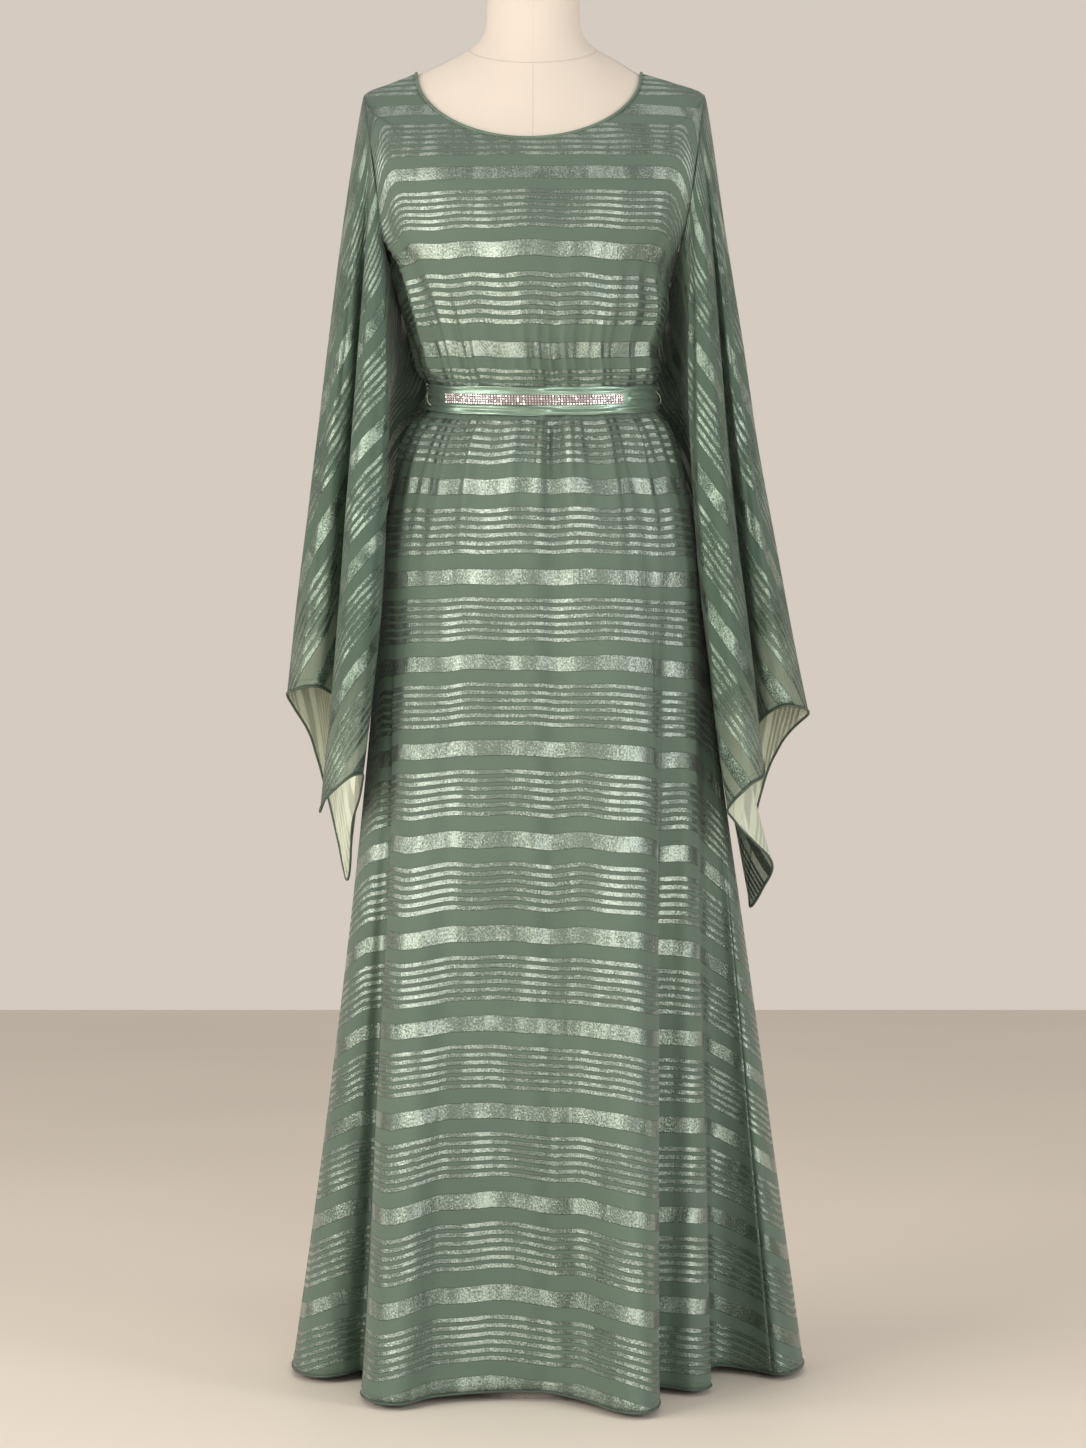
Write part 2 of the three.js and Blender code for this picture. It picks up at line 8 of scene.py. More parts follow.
import bpy
import numpy as np
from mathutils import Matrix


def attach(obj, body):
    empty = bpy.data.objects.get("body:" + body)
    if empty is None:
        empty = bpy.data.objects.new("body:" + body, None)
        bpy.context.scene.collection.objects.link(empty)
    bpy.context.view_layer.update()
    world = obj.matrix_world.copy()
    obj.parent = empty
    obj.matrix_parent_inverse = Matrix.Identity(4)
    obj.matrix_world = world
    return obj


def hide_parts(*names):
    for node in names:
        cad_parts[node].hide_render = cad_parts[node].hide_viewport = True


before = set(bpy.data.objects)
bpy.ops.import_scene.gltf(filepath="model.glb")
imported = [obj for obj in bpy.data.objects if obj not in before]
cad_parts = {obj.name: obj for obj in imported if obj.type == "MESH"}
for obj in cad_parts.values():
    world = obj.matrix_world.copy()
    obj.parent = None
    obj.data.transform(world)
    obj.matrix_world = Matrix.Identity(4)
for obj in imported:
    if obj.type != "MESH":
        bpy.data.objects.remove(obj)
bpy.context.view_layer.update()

log = logging.getLogger("abaya")

MM = 0.001
BODY = "root"

# The sections of the worn tube, hips to neckline, in millimetres to the outside of the cloth. edge is how
# far round each panel reaches from its middle, in degrees. gather is the depth of the gathers, and clear is
# how far inside the cloth the dress form stays.
SECTION_COLUMNS = ("z_front", "z_side", "z_back", "right", "left", "front", "back", "edge", "gather", "clear")
SECTIONS = {
    "hips": (880, 880, 880, 170, 174, 118, 122, 90, 0, 12),
    "low_waist": (926, 930, 930, 163, 168, 114, 118, 90, 0.7, 11),
    "yoke_low": (964, 970, 970, 154, 159, 109, 112, 90, 2.0, 10),
    "yoke_mid": (990, 1000, 1000, 146, 151, 105, 106, 90, 3.4, 10),
    "yoke_high": (1010, 1022, 1022, 137, 144, 101, 101, 90, 4.4, 10),
    "below_belt": (1025, 1038, 1038, 127, 136, 98, 97, 90, 4.0, 9),
    "belt_low": (1036, 1050, 1050, 117, 128, 94, 93, 90, 1.2, 4),
    "belt_middle": (1049, 1063, 1063, 115, 126, 92, 92, 90, 1.0, 3.5),
    "belt_high": (1062, 1076, 1076, 117, 126, 94, 93, 90, 1.2, 4),
    "above_belt": (1079, 1090, 1090, 124, 129, 101, 97, 90, 3.8, 9),
    "blouse_low": (1106, 1113, 1113, 131, 128, 109, 100, 90, 3.2, 9),
    "blouse_high": (1147, 1150, 1150, 144, 140, 117, 102, 90, 1.4, 8),
    "underarm": (1185, 1185, 1185, 155, 142, 122, 103, 90, 0, 6),
    "arm_low": (1212, 1222, 1225, 163, 152, 123, 105, 68, 0, 5),
    "arm_mid_low": (1240, 1262, 1265, 168, 161, 121, 106, 60, 0, 4),
    "arm_middle": (1265, 1303, 1303, 175, 168, 115, 105, 58, 0, 3.5),
    "arm_mid_high": (1287, 1340, 1338, 180, 172, 107, 100, 62, 0, 3),
    "arm_high": (1304, 1370, 1365, 184, 176, 99, 93, 72, 0, 2.6),
    "shoulder_tip": (1316, 1390, 1383, 186, 178, 92, 85, 90, 0, 3.4),
    "shoulder": (1324, 1402, 1393, 158, 147, 85, 76, 90, 0, 1.9),
    "neckline": (1331, 1413, 1400, 130, 110, 78, 68, 90, 0, 1.9),
}
NAMES = list(SECTIONS)
BELT_LOW, BELT_MIDDLE, BELT_HIGH = (NAMES.index(n) for n in ("belt_low", "belt_middle", "belt_high"))
UNDERARM, TIP, NECKLINE = (NAMES.index(n) for n in ("underarm", "shoulder_tip", "neckline"))

# The number of waist gathers, and over how many degrees the loose waves fade at the side seams.
GATHERS = 24
SEAM_CALM = 9

# The skirt's folds: angle round the hips in degrees, then where the fold line meets the hem, and its flare.
FOLDS = (
    (-180, -5, 224, 6, 1.2),
    (-163, -62, 180, 9, 1.2),
    (-148, -122, 214, 6, 1.2),
    (-132, -178, 158, 9, 1.2),
    (-116, -240, 168, 6, 1.2),
    (-98, -269, 96, 6, 1.3),
    (-86, -262, 20, 6, 1.3),
    (-77, -236, -10, 6, 1.25),
    (-68, -210, -6, 8, 1.25),
    (-62, -190, 14, 10, 1.25),
    (-58, -176, -30, 8, 1.2),
    (-53, -186, -98, 6, 1.2),
    (-46, -171, -150, 6, 1.2),
    (-37, -142, -164, 6, 1.2),
    (-26, -108, -132, 8, 1.2),
    (-13, -48, -110, 9, 1.2),
    (2, 4, -114, 9, 1.2),
    (14, 44, -146, 8, 1.2),
    (26, 80, -196, 6, 1.2),
    (35, 106, -212, 6, 1.2),
    (42, 123, -184, 6, 1.2),
    (47, 126, -128, 6, 1.2),
    (51, 112, -72, 8, 1.2),
    (56, 134, -70, 7, 1.2),
    (63, 164, -86, 6, 1.2),
    (70, 184, -62, 6, 1.2),
    (75, 180, -8, 8, 1.1),
    (80, 194, 42, 9, 1.1),
    (86, 232, 34, 6, 1.05),
    (92, 262, 4, 6, 1.02),
    (100, 286, 40, 6, 1),
    (109, 290, 112, 6, 1),
    (120, 246, 176, 6, 1.1),
    (134, 182, 158, 9, 1.15),
    (148, 126, 214, 6, 1.2),
    (164, 58, 178, 9, 1.2),
)

# Soft creases of the body: angle and height of each end, width in degrees, and how far it stands out.
CREASES = (
    # bodice front, above the belt
    (-63, 1310, -63, 1080, 3.4, 4.6),
    (-73, 1290, -72, 1082, 5.0, -3.2),
    (-56, 1230, -48, 1082, 3.2, -2.6),
    (-36, 1190, -33, 1080, 3.2, 2.4),
    (-20, 1210, -19, 1080, 3.4, -2.2),
    (-5, 1180, -8, 1080, 3.0, 2.4),
    (11, 1215, 9, 1080, 3.4, -2.4),
    (26, 1190, 24, 1080, 3.0, 2.6),
    (45, 1240, 40, 1082, 3.4, -2.4),
    (54, 1250, 67, 1082, 3.4, 4.6),
    (66, 1240, 74, 1084, 5.0, -2.6),
    (50, 1330, 66, 1190, 5.0, 2.4),
    (-50, 1330, -66, 1190, 5.0, 2.4),
    # skirt front, under the belt
    (-62, 1026, -60, 860, 3.0, 2.0),
    (-47, 1026, -50, 800, 3.0, -2.2),
    (-38, 1024, -42, 880, 2.6, 2.2),
    (-24, 1022, -26, 700, 3.4, -2.4),
    (-10, 1020, -12, 830, 3.0, 2.4),
    (3, 1020, 4, 900, 2.4, -2.8),
    (15, 1020, 15, 620, 4.0, -2.6),
    (27, 1022, 30, 820, 3.0, 2.6),
    (41, 1024, 44, 760, 3.0, -2.0),
    (55, 1026, 58, 850, 3.0, 2.2),
    (6, 990, 6, -500, 4.8, -8.5),
    (-35, 960, -25, -400, 4.2, -2.8),
    (-18, 940, -12, -500, 8.0, 2.6),
    (28, 940, 26, -500, 8.0, 2.6),
    # back
    (160, 1300, 168, 1085, 5.0, 3.0),
    (-158, 1300, -166, 1085, 5.0, 3.0),
    (140, 1250, 146, 1085, 4.0, -2.6),
    (-138, 1250, -146, 1085, 4.0, -2.6),
    (122, 1220, 126, 1085, 4.0, 2.6),
    (-120, 1220, -126, 1085, 4.0, 2.6),
    (178, 1210, 180, 1085, 4.0, -2.2),
    (170, 1026, 172, 700, 4.0, -2.4),
    (-170, 1026, -174, 780, 3.4, 2.4),
    (150, 1026, 150, 760, 4.0, 2.6),
    (-150, 1026, -150, 680, 4.0, -2.6),
    (128, 1026, 126, 800, 3.6, -2.4),
    (-128, 1026, -128, 760, 3.6, 2.4),
)

# Folds with a crisp edge: the edge's angle and height at three places, then how far the cloth on its front
# side stands over the other side, how many degrees that takes to fade, and how much lower the weft of the
# other side hangs.
CRISP_FOLDS = (
    (-62, 810, -58, 580, -54, 400, 5.0, 12.0, 3.0),
    (44, 820, 45, 600, 46, 420, 4.0, 10.0, 3.0),
)

# Height of each wide stripe's middle on the front's centre line, with its number down the cloth.
STRIPE_HEIGHTS = (1440, 1366, 1290.4, 1208.4, 1101.2, 1066, 1035, 959.2, 864.5, 775.2, 684.8, 590.1, 491.3,
                  396.7, 306.2, 211.6, 114.9, 20.2, -73)
STRIPE_NUMBERS = (-2, -1, 0, 1, 2, 2.45, 3.18, 4, 5, 6, 7, 8, 9, 10, 11, 12, 13, 14, 15)
STRIPE_PERIOD = 93.6

# How much lower the weft hangs round the skirt than at its front, in millimetres.
DROOP_ANGLES = (-180, -150, -120, -98, -86, -70, -62, -53, 0, 42, 51, 63, 70, 75, 80, 92, 100, 109, 120,
                134, 150, 180)
DROOP = (0, 8, 24, 44, 36, 12, 6, 0, 0, 2, 9, 16, 21, 26, 34, 62, 78, 84, 70, 40, 14, 0)

# How much lower the weft hangs at the hem beside the middles of the front's folds, less and less up to the
# hips.
ARCH_ANGLES = (-80, -62, -46, -37, -26, -14, 0, 6, 14, 26, 35, 42, 51, 62, 75)
ARCH = (6, 14, 18, 10, 2, 0, 5, 8, 4, 7, 13, 20, 14, 6, 0)

# The sleeves' hems, a row for each place round the sleeve: where its end hangs (x, y, z), how far it bows out
# halfway (x, y) and how far it tucks in behind the waist (x, y).
RIGHT_HEM = (
    (0, -271, 8, 740, 0, 0, 0, 0),
    (2, -262, -20, 746, 0, 0, 0, 0),
    (4, -246, -33, 750, 0, -2, 0, 0),
    (6, -230, -27, 748, 0, -4, 0, 0),
    (8, -216, -6, 735, 2, 2, 0, 0),
    (9.5, -208, 10, 712, 2, 8, 0, 0),
    (11, -215, -22, 665, 4, 0, 0, 0),
    (12.5, -231, -57, 618, 4, -2, 0, 0),
    (14, -225, -84, 630, 4, -4, 0, 0),
    (16, -206, -98, 648, 6, -8, 0, 0),
    (18, -191, -90, 657, 15, -10, 0, 0),
    (19.5, -185, -66, 652, 15, -8, 0, 0),
    (22, -199, -2, 605, 4, 4, 18, 14),
    (24, -208, 46, 540, 2, 14, 48, 34),
    (27, -220, 62, 584, 0, 8, 30, 10),
    (30, -233, 62, 640, 0, 4, 8, 3),
    (33, -250, 46, 700, 0, 0, 0, 0),
)
LEFT_HEM = (
    (0, 293, 8, 722, -12, 0, 0, 0),
    (2, 280, -20, 728, -11, -2, 0, 0),
    (4, 262, -31, 729, -9, -4, 0, 0),
    (6, 246, -22, 720, -6, -4, 0, 0),
    (7.5, 236, 2, 702, -4, 4, 0, 0),
    (9, 242, -42, 660, -6, -4, 0, 0),
    (11, 224, -76, 645, -8, -6, 0, 0),
    (13, 203, -64, 622, -14, -4, 0, 0),
    (15, 210, -40, 606, -22, 4, 0, 0),
    (17, 230, -30, 585, -26, 2, 0, 0),
    (19, 252, -8, 562, -28, 4, 0, 0),
    (21.5, 246, 26, 534, -20, 6, -5, 12),
    (24, 231, 54, 512, -10, 10, -33, 34),
    (27, 236, 68, 590, -4, 6, -20, 12),
    (30, 250, 64, 652, 0, 4, -5, 3),
    (33, 270, 42, 696, -6, 0, 0, 0),
)

# How much of the tuck a sleeve has from its armhole, 0, to its hem, 1: level, x share, y share.
TUCK_ROWS = (
    (0, 0, 0),
    (0.02, 0.2, 0.75),
    (0.06, 0.37, 0.98),
    (0.12, 0.74, 1),
    (0.17, 0.93, 1),
    (0.21, 1, 1),
    (0.26, 0.62, 0.88),
    (0.33, 0.36, 0.6),
    (0.44, 0.18, 0.3),
    (0.6, 0.14, 0.12),
    (0.8, 0.06, 0.04),
    (1, 0, 0),
)

# The form's neck: height at the front, side and back, then its size to the right, left, front and back.
NECK_COLUMNS = ("z_front", "z_side", "z_back", "right", "left", "front", "back")
NECK_ROWS = (
    (1368, 1426, 1424, 97, 85, 66, 65),
    (1405, 1440, 1446, 71, 61, 54, 58),
    (1432, 1456, 1464, 58, 48, 47, 52),
    (1470, 1482, 1486, 55, 45, 45, 50),
    (1528, 1528, 1528, 54, 44, 46, 51),
)


class Side(Enum):
    """The wearer's side that a sleeve hangs on."""

    RIGHT = -1
    LEFT = 1


class Panel(Enum):
    """The two long pieces of the garment."""

    FRONT = "front"
    BACK = "back"


def smooth_rows(places: np.ndarray, values: np.ndarray, at: np.ndarray) -> np.ndarray:
    """Reads a smooth curve through unevenly spaced rows.

    Args:
        places: The rows' places, rising.
        values: One row of values for each place.
        at: Where to read.

    Returns:
        The values there, with a last axis of columns.
    """
    slopes = np.empty_like(values)
    slopes[1:-1] = (values[2:] - values[:-2]) / (places[2:] - places[:-2])[:, None]
    slopes[0] = (values[1] - values[0]) / (places[1] - places[0])
    slopes[-1] = (values[-1] - values[-2]) / (places[-1] - places[-2])
    i = np.clip(np.searchsorted(places, at, side="right") - 1, 0, len(places) - 2)
    width = (places[i + 1] - places[i])[..., None]
    t = np.clip((at - places[i])[..., None] / width, 0, 1)
    rise = values[i + 1] - values[i]
    first, second = slopes[i] * width, slopes[i + 1] * width
    square, cube = 3 * rise - 2 * first - second, first + second - 2 * rise
    return values[i] + t * first + t * t * square + t**3 * cube


def running_length(points: np.ndarray, axis: int) -> np.ndarray:
    """How far each point lies from the first along one axis of a grid, measured over the cloth.

    Args:
        points: A line or a grid of points.
        axis: The axis to follow.

    Returns:
        The lengths, in the points' own unit.
    """
    steps = np.linalg.norm(np.diff(points, axis=axis), axis=-1)
    start = np.zeros_like(np.take(steps, [0], axis=axis))
    return np.concatenate([start, np.cumsum(steps, axis=axis)], axis=axis)


def pushed_out(points: np.ndarray, angle: np.ndarray, out: np.ndarray) -> np.ndarray:
    """Moves points straight out from the body's middle.

    Args:
        points: Points in millimetres, which are changed.
        angle: Degrees from the front's middle towards the wearer's left.
        out: How far to move them.

    Returns:
        The same points.
    """
    points[..., 0] += out * np.sin(np.radians(angle))
    points[..., 1] -= out * np.cos(np.radians(angle))
    return points


def tint(colour: tuple[float, ...], share: float = 1.0) -> tuple[float, ...]:
    """A colour made darker or lighter by a share, with full cover."""
    return (*(share * c for c in colour), 1)


def ease(low: float, high: float, value: np.ndarray) -> np.ndarray:
    """A smooth step from 0 at low to 1 at high."""
    t = np.clip((value - low) / (high - low), 0.0, 1.0)
    return t * t * (3 - 2 * t)


def grid_normals(points: np.ndarray, closed: bool) -> np.ndarray:
    """Unit normals of a grid of points.

    Args:
        points: Rows by columns by 3.
        closed: True if the last column meets the first.

    Returns:
        The cross product of the directions along a row and up a column, at each point.
    """
    if closed:
        across = np.roll(points, -1, axis=1) - np.roll(points, 1, axis=1)
    else:
        across = np.gradient(points, axis=1)
    upwards = np.gradient(points, axis=0)
    normals = np.cross(across, upwards)
    length = np.linalg.norm(normals, axis=-1, keepdims=True)
    return normals / np.maximum(length, 1e-12)


def ripple(u: np.ndarray, v: np.ndarray, seed: int, waves: int = 6) -> np.ndarray:
    """An uneven, smooth wave pattern of about -1 to 1, the same on each run.

    Args:
        u: First coordinate, where 1 is about one wave.
        v: Second coordinate.
        seed: Which pattern.
        waves: How many sine waves it mixes.

    Returns:
        The height of the pattern.
    """
    random = np.random.default_rng(seed)
    total = np.zeros(np.broadcast(u, v).shape)
    for _ in range(waves):
        turn, phase = random.uniform(0, 2 * math.pi, 2)
        rate = random.uniform(0.6, 1.5) * 2 * math.pi
        total = total + np.sin(rate * (u * math.cos(turn) + v * math.sin(turn)) + phase)
    return total / math.sqrt(waves)


def seam_calm(angle: np.ndarray) -> np.ndarray:
    """The share of the loose waves at an angle: none at the side seams, where front and back meet."""
    aside = np.abs(np.mod(angle + 180, 360) - 180) - 90
    return 1 - np.exp(-(aside / SEAM_CALM) ** 2)


@dataclass
class WornForm:
    """The shape that the garment hangs in, from its sections and its skirt's folds.

    Attributes:
        hip_height: Height of the hips, where the skirt's folds start.
        belt_height: Height of the belt, which parts the creases of the bodice from those of the skirt.
        wave: Depth of the skirt's loose waves.
        drape: Depth of the bodice's loose folds.
        belt_sag: How much higher the weft is drawn at the sides by the belt.
        arm_drop: How much lower the weft hangs beside the armholes.
        sections: The sections' sizes.
        folds: The skirt's folds.
    """

    hip_height: float = 880.0
    belt_height: float = 1030.0
    wave: float = 1.0
    drape: float = 1.2
    belt_sag: float = 13.0
    arm_drop: float = 46.0
    sections: np.ndarray = field(default_factory=lambda: np.array(list(SECTIONS.values()), float))
    folds: np.ndarray = field(default_factory=lambda: np.array(FOLDS, float))

    def section(self, level: np.ndarray) -> dict[str, np.ndarray]:
        """Sizes of the section at a row number that may lie between two rows.

        Args:
            level: Row numbers up from the hips.

        Returns:
            Each size under its column's name.
        """
        places = np.arange(len(self.sections), dtype=float)
        values = smooth_rows(places, self.sections, np.asarray(level, float))
        return {name: values[..., i] for i, name in enumerate(SECTION_COLUMNS)}

    @staticmethod
    def oval(s: dict[str, np.ndarray], angle: np.ndarray, reach: np.ndarray) -> np.ndarray:
        """A point on an oval section.

        Args:
            s: The section's sizes.
            angle: Degrees from the front's middle towards the wearer's left.
            reach: Degrees at which the section is as wide as it gets.

        Returns:
            Points in millimetres.
        """
        wrapped = np.mod(angle + 180, 360) - 180
        front = np.abs(wrapped) <= 90
        turn = np.where(front, wrapped, np.sign(wrapped) * 180 - wrapped)
        across = np.sin(np.radians(turn)) / np.sin(np.radians(reach))
        away = np.maximum(0, np.cos(np.radians(turn))) ** 0.9
        rise = 1 - np.cos(np.radians(np.minimum(90, np.abs(turn) * 90 / reach)))
        middle, half = (s["left"] - s["right"]) / 2, (s["left"] + s["right"]) / 2
        y = np.where(front, -s["front"] * away, s["back"] * away)
        low = np.where(front, s["z_front"], s["z_back"])
        return np.stack([middle + half * across, y, low + (s["z_side"] - low) * rise], axis=-1)

    def reach(self, level: np.ndarray) -> np.ndarray:
        """How far a panel reaches from its middle, in degrees."""
        open_rows = (level > UNDERARM) & (level < TIP)
        return np.where(open_rows, np.minimum(90, self.section(np.maximum(level, 0))["edge"]), 90.0)

    def plain_point(self, angle: np.ndarray, level: np.ndarray) -> np.ndarray:
        """The cloth's outside without gathers or creases: level -1 is the hem, and 0 the hips.

        Args:
            angle: Degrees from the front's middle towards the wearer's left.
            level: Row numbers up from the hips, or down to -1 at the hem.

        Returns:
            Points in millimetres.
        """
        above = np.maximum(level, 0)
        upper = self.oval(self.section(above), angle, self.reach(level))
        rows = [self.folds + np.array([turn * 360, 0, 0, 0, 0]) for turn in (-1, 0, 1)]
        table = np.concatenate(rows)
        fold = smooth_rows(table[:, 0], table, angle)
        drop = np.maximum(-level, 0)
        spread = drop ** fold[..., 4]
        lower = np.stack([
            upper[..., 0] + (fold[..., 1] - upper[..., 0]) * spread,
            upper[..., 1] + (fold[..., 2] - upper[..., 1]) * spread,
            self.hip_height + (fold[..., 3] - self.hip_height) * drop,
        ], axis=-1)
        return np.where((level < 0)[..., None], lower, upper)

    def gathers(self, angle: np.ndarray, level: np.ndarray) -> np.ndarray:
        """How far the waist gathers stand out, in millimetres.

        Args:
            angle: Degrees from the front's middle towards the wearer's left.
            level: Row numbers up from the hips, or down to -1 at the hem.

        Returns:
            The gathers' height at each place.
        """
        depth = self.section(np.maximum(level, 0))["gather"]
        lean = 2.0 * np.sin(np.radians(5 * angle + 20)) + 1.1 * np.sin(np.radians(11 * angle))
        wave = np.radians(GATHERS * (angle + lean))
        strength = 1 + 0.3 * np.sin(np.radians(3 * angle + 40)) + 0.25 * np.sin(np.radians(7 * angle))
        small = 0.3 * np.cos(np.radians(61 * angle + 30 * np.sin(np.radians(9 * angle))))
        sharp = 0.8 * np.cos(wave) + 0.2 * np.cos(2 * wave) + small
        near_belt = np.where((level >= BELT_LOW) & (level <= BELT_HIGH), 0.6, 1.0)
        return np.where(level < 0, 0.0, depth * strength * sharp * near_belt)

    def creases(self, angle: np.ndarray, height: np.ndarray) -> np.ndarray:
        """How far the listed soft creases stand out, in millimetres.

        Args:
            angle: Degrees from the front's middle towards the wearer's left.
            height: Heights in millimetres.

        Returns:
            The creases' height at each place.
        """
        total = np.zeros(angle.shape)
        for a_high, z_high, a_low, z_low, width, depth in CREASES:
            share = (z_high - height) / (z_high - z_low)
            middle = a_high + (a_low - a_high) * np.clip(share, 0, 1)
            apart = (np.mod(angle - middle + 180, 360) - 180) / width
            beside = np.exp(-((apart - 1.7) ** 2)), np.exp(-((apart + 1.7) ** 2))
            shape = np.exp(-apart**2) - 0.45 * beside[0] - 0.45 * beside[1]
            near = ease(-0.05, 0.25, share) * (1 - ease(0.55, 1.05, share))
            if z_low > self.belt_height:
                near = ease(-0.05, 0.5, share) * (1 - ease(0.96, 1.04, share))
            elif z_high < self.belt_height:
                near = ease(-0.08, 0.06, share) * (1 - ease(0.25, 1.05, share))
            total += depth * shape * near
        return total

    @staticmethod
    def crisp_folds(angle: np.ndarray, height: np.ndarray) -> tuple[np.ndarray, np.ndarray]:
        """The folds with a crisp edge.

        Args:
            angle: Degrees from the front's middle.
            height: Heights in millimetres.

        Returns:
            How far the cloth stands out, and how much lower its weft hangs, in millimetres.
        """
        out, lower = np.zeros(angle.shape), np.zeros(angle.shape)
        for a_high, z_high, a_mid, z_mid, a_low, z_low, depth, fade, drop in CRISP_FOLDS:
            edge = np.interp(-height, (-z_high, -z_mid, -z_low, -z_low + 400), (a_high, a_mid, a_low, a_low))
            side = math.copysign(1.0, a_mid)
            inside = (edge - angle) * side
            near = ease(z_high, z_high - 90, height) * ease(z_low - 330, z_low - 60, height)
            step = ease(-0.7, 0.7, inside)
            out = out + depth * near * step * np.exp(-np.maximum(inside, 0) / fade)
            beyond = np.clip(-inside / 25, 0, 1)
            lower = lower + drop * near * (1 - step) * (1 - beyond)
        return out, lower

    def surface(self, angle: np.ndarray, level: np.ndarray) -> np.ndarray:
        """The cloth's outside with its gathers and creases, in millimetres.

        Args:
            angle: Degrees from the front's middle towards the wearer's left.
            level: Row numbers up from the hips, or down to -1 at the hem.

        Returns:
            The points.
        """
        points = self.plain_point(angle, level)
        height = points[..., 2]
        out = self.gathers(angle, level) + self.creases(angle, height)
        out = out + np.where(level < 0.5, self.crisp_folds(angle, height)[0], 0.0)
        waves = ripple(angle / 34, height / 520, 5) * self.wave * ease(60, 300, height)
        waves = waves * (1 - ease(820, 960, height))
        drape = ripple(angle / 26 + height / 900, height / 200, 8) * self.drape * ease(1090, 1160, height)
        drape = drape * (1 - ease(1290, 1340, height))
        return pushed_out(points, angle, out + (waves + drape) * seam_calm(angle))

    def panel_angle(self, panel: Panel, across: np.ndarray, level: np.ndarray) -> np.ndarray:
        """The angle of a place on a panel, where across runs from -1 to 1."""
        turn = across * self.reach(level)
        return turn if panel is Panel.FRONT else 180 - turn

    def weft(self, angle: np.ndarray, level: np.ndarray, points: np.ndarray,
             across: np.ndarray) -> np.ndarray:
        """The place down the cloth, which its woven stripes follow.

        Args:
            angle: Degrees from the front's middle towards the wearer's left.
            level: Row numbers up from the hips, or down to -1 at the hem.
            points: The cloth's points in millimetres.
            across: Places across the panel, from -1 to 1.

        Returns:
            Metres down the cloth.
        """
        height = points[..., 2]
        wrapped = np.mod(angle + 180, 360) - 180
        droop = np.interp(wrapped, DROOP_ANGLES, DROOP) * (1 - ease(520, 940, height))
        reach = np.radians(self.reach(level))
        wide = np.abs(np.sin(across * reach) / np.sin(reach))
        arm = (ease(0.80, 1.05, wide) ** 2) * ease(1085, 1180, height) * (1 - ease(1320, 1380, height))
        drawn = self.belt_sag * (1 - np.cos(np.radians(np.minimum(90, np.abs(wrapped))))) * (
            ease(880, 1010, height) * (1 - ease(1110, 1200, height)))
        wander = ripple(angle / 30, height / 300, 21) * seam_calm(angle)
        arch = np.interp(wrapped, ARCH_ANGLES, ARCH) * np.clip(1 - height / 940, 0, 1)
        lowered = droop + arch + self.crisp_folds(wrapped, height)[1] + self.arm_drop * arm
        read = height + lowered - drawn + wander
        numbers = np.interp(-read, -np.array(STRIPE_HEIGHTS), STRIPE_NUMBERS)
        return numbers * STRIPE_PERIOD * MM


def place_loose(mesh: bpy.types.Mesh, name: str) -> bpy.types.Object:
    """Links a mesh to the scene as an object at the origin.

    Args:
        mesh: The mesh.
        name: The object's name.

    Returns:
        The object.
    """
    thing = bpy.data.objects.new(name, mesh)
    bpy.context.scene.collection.objects.link(thing)
    return thing


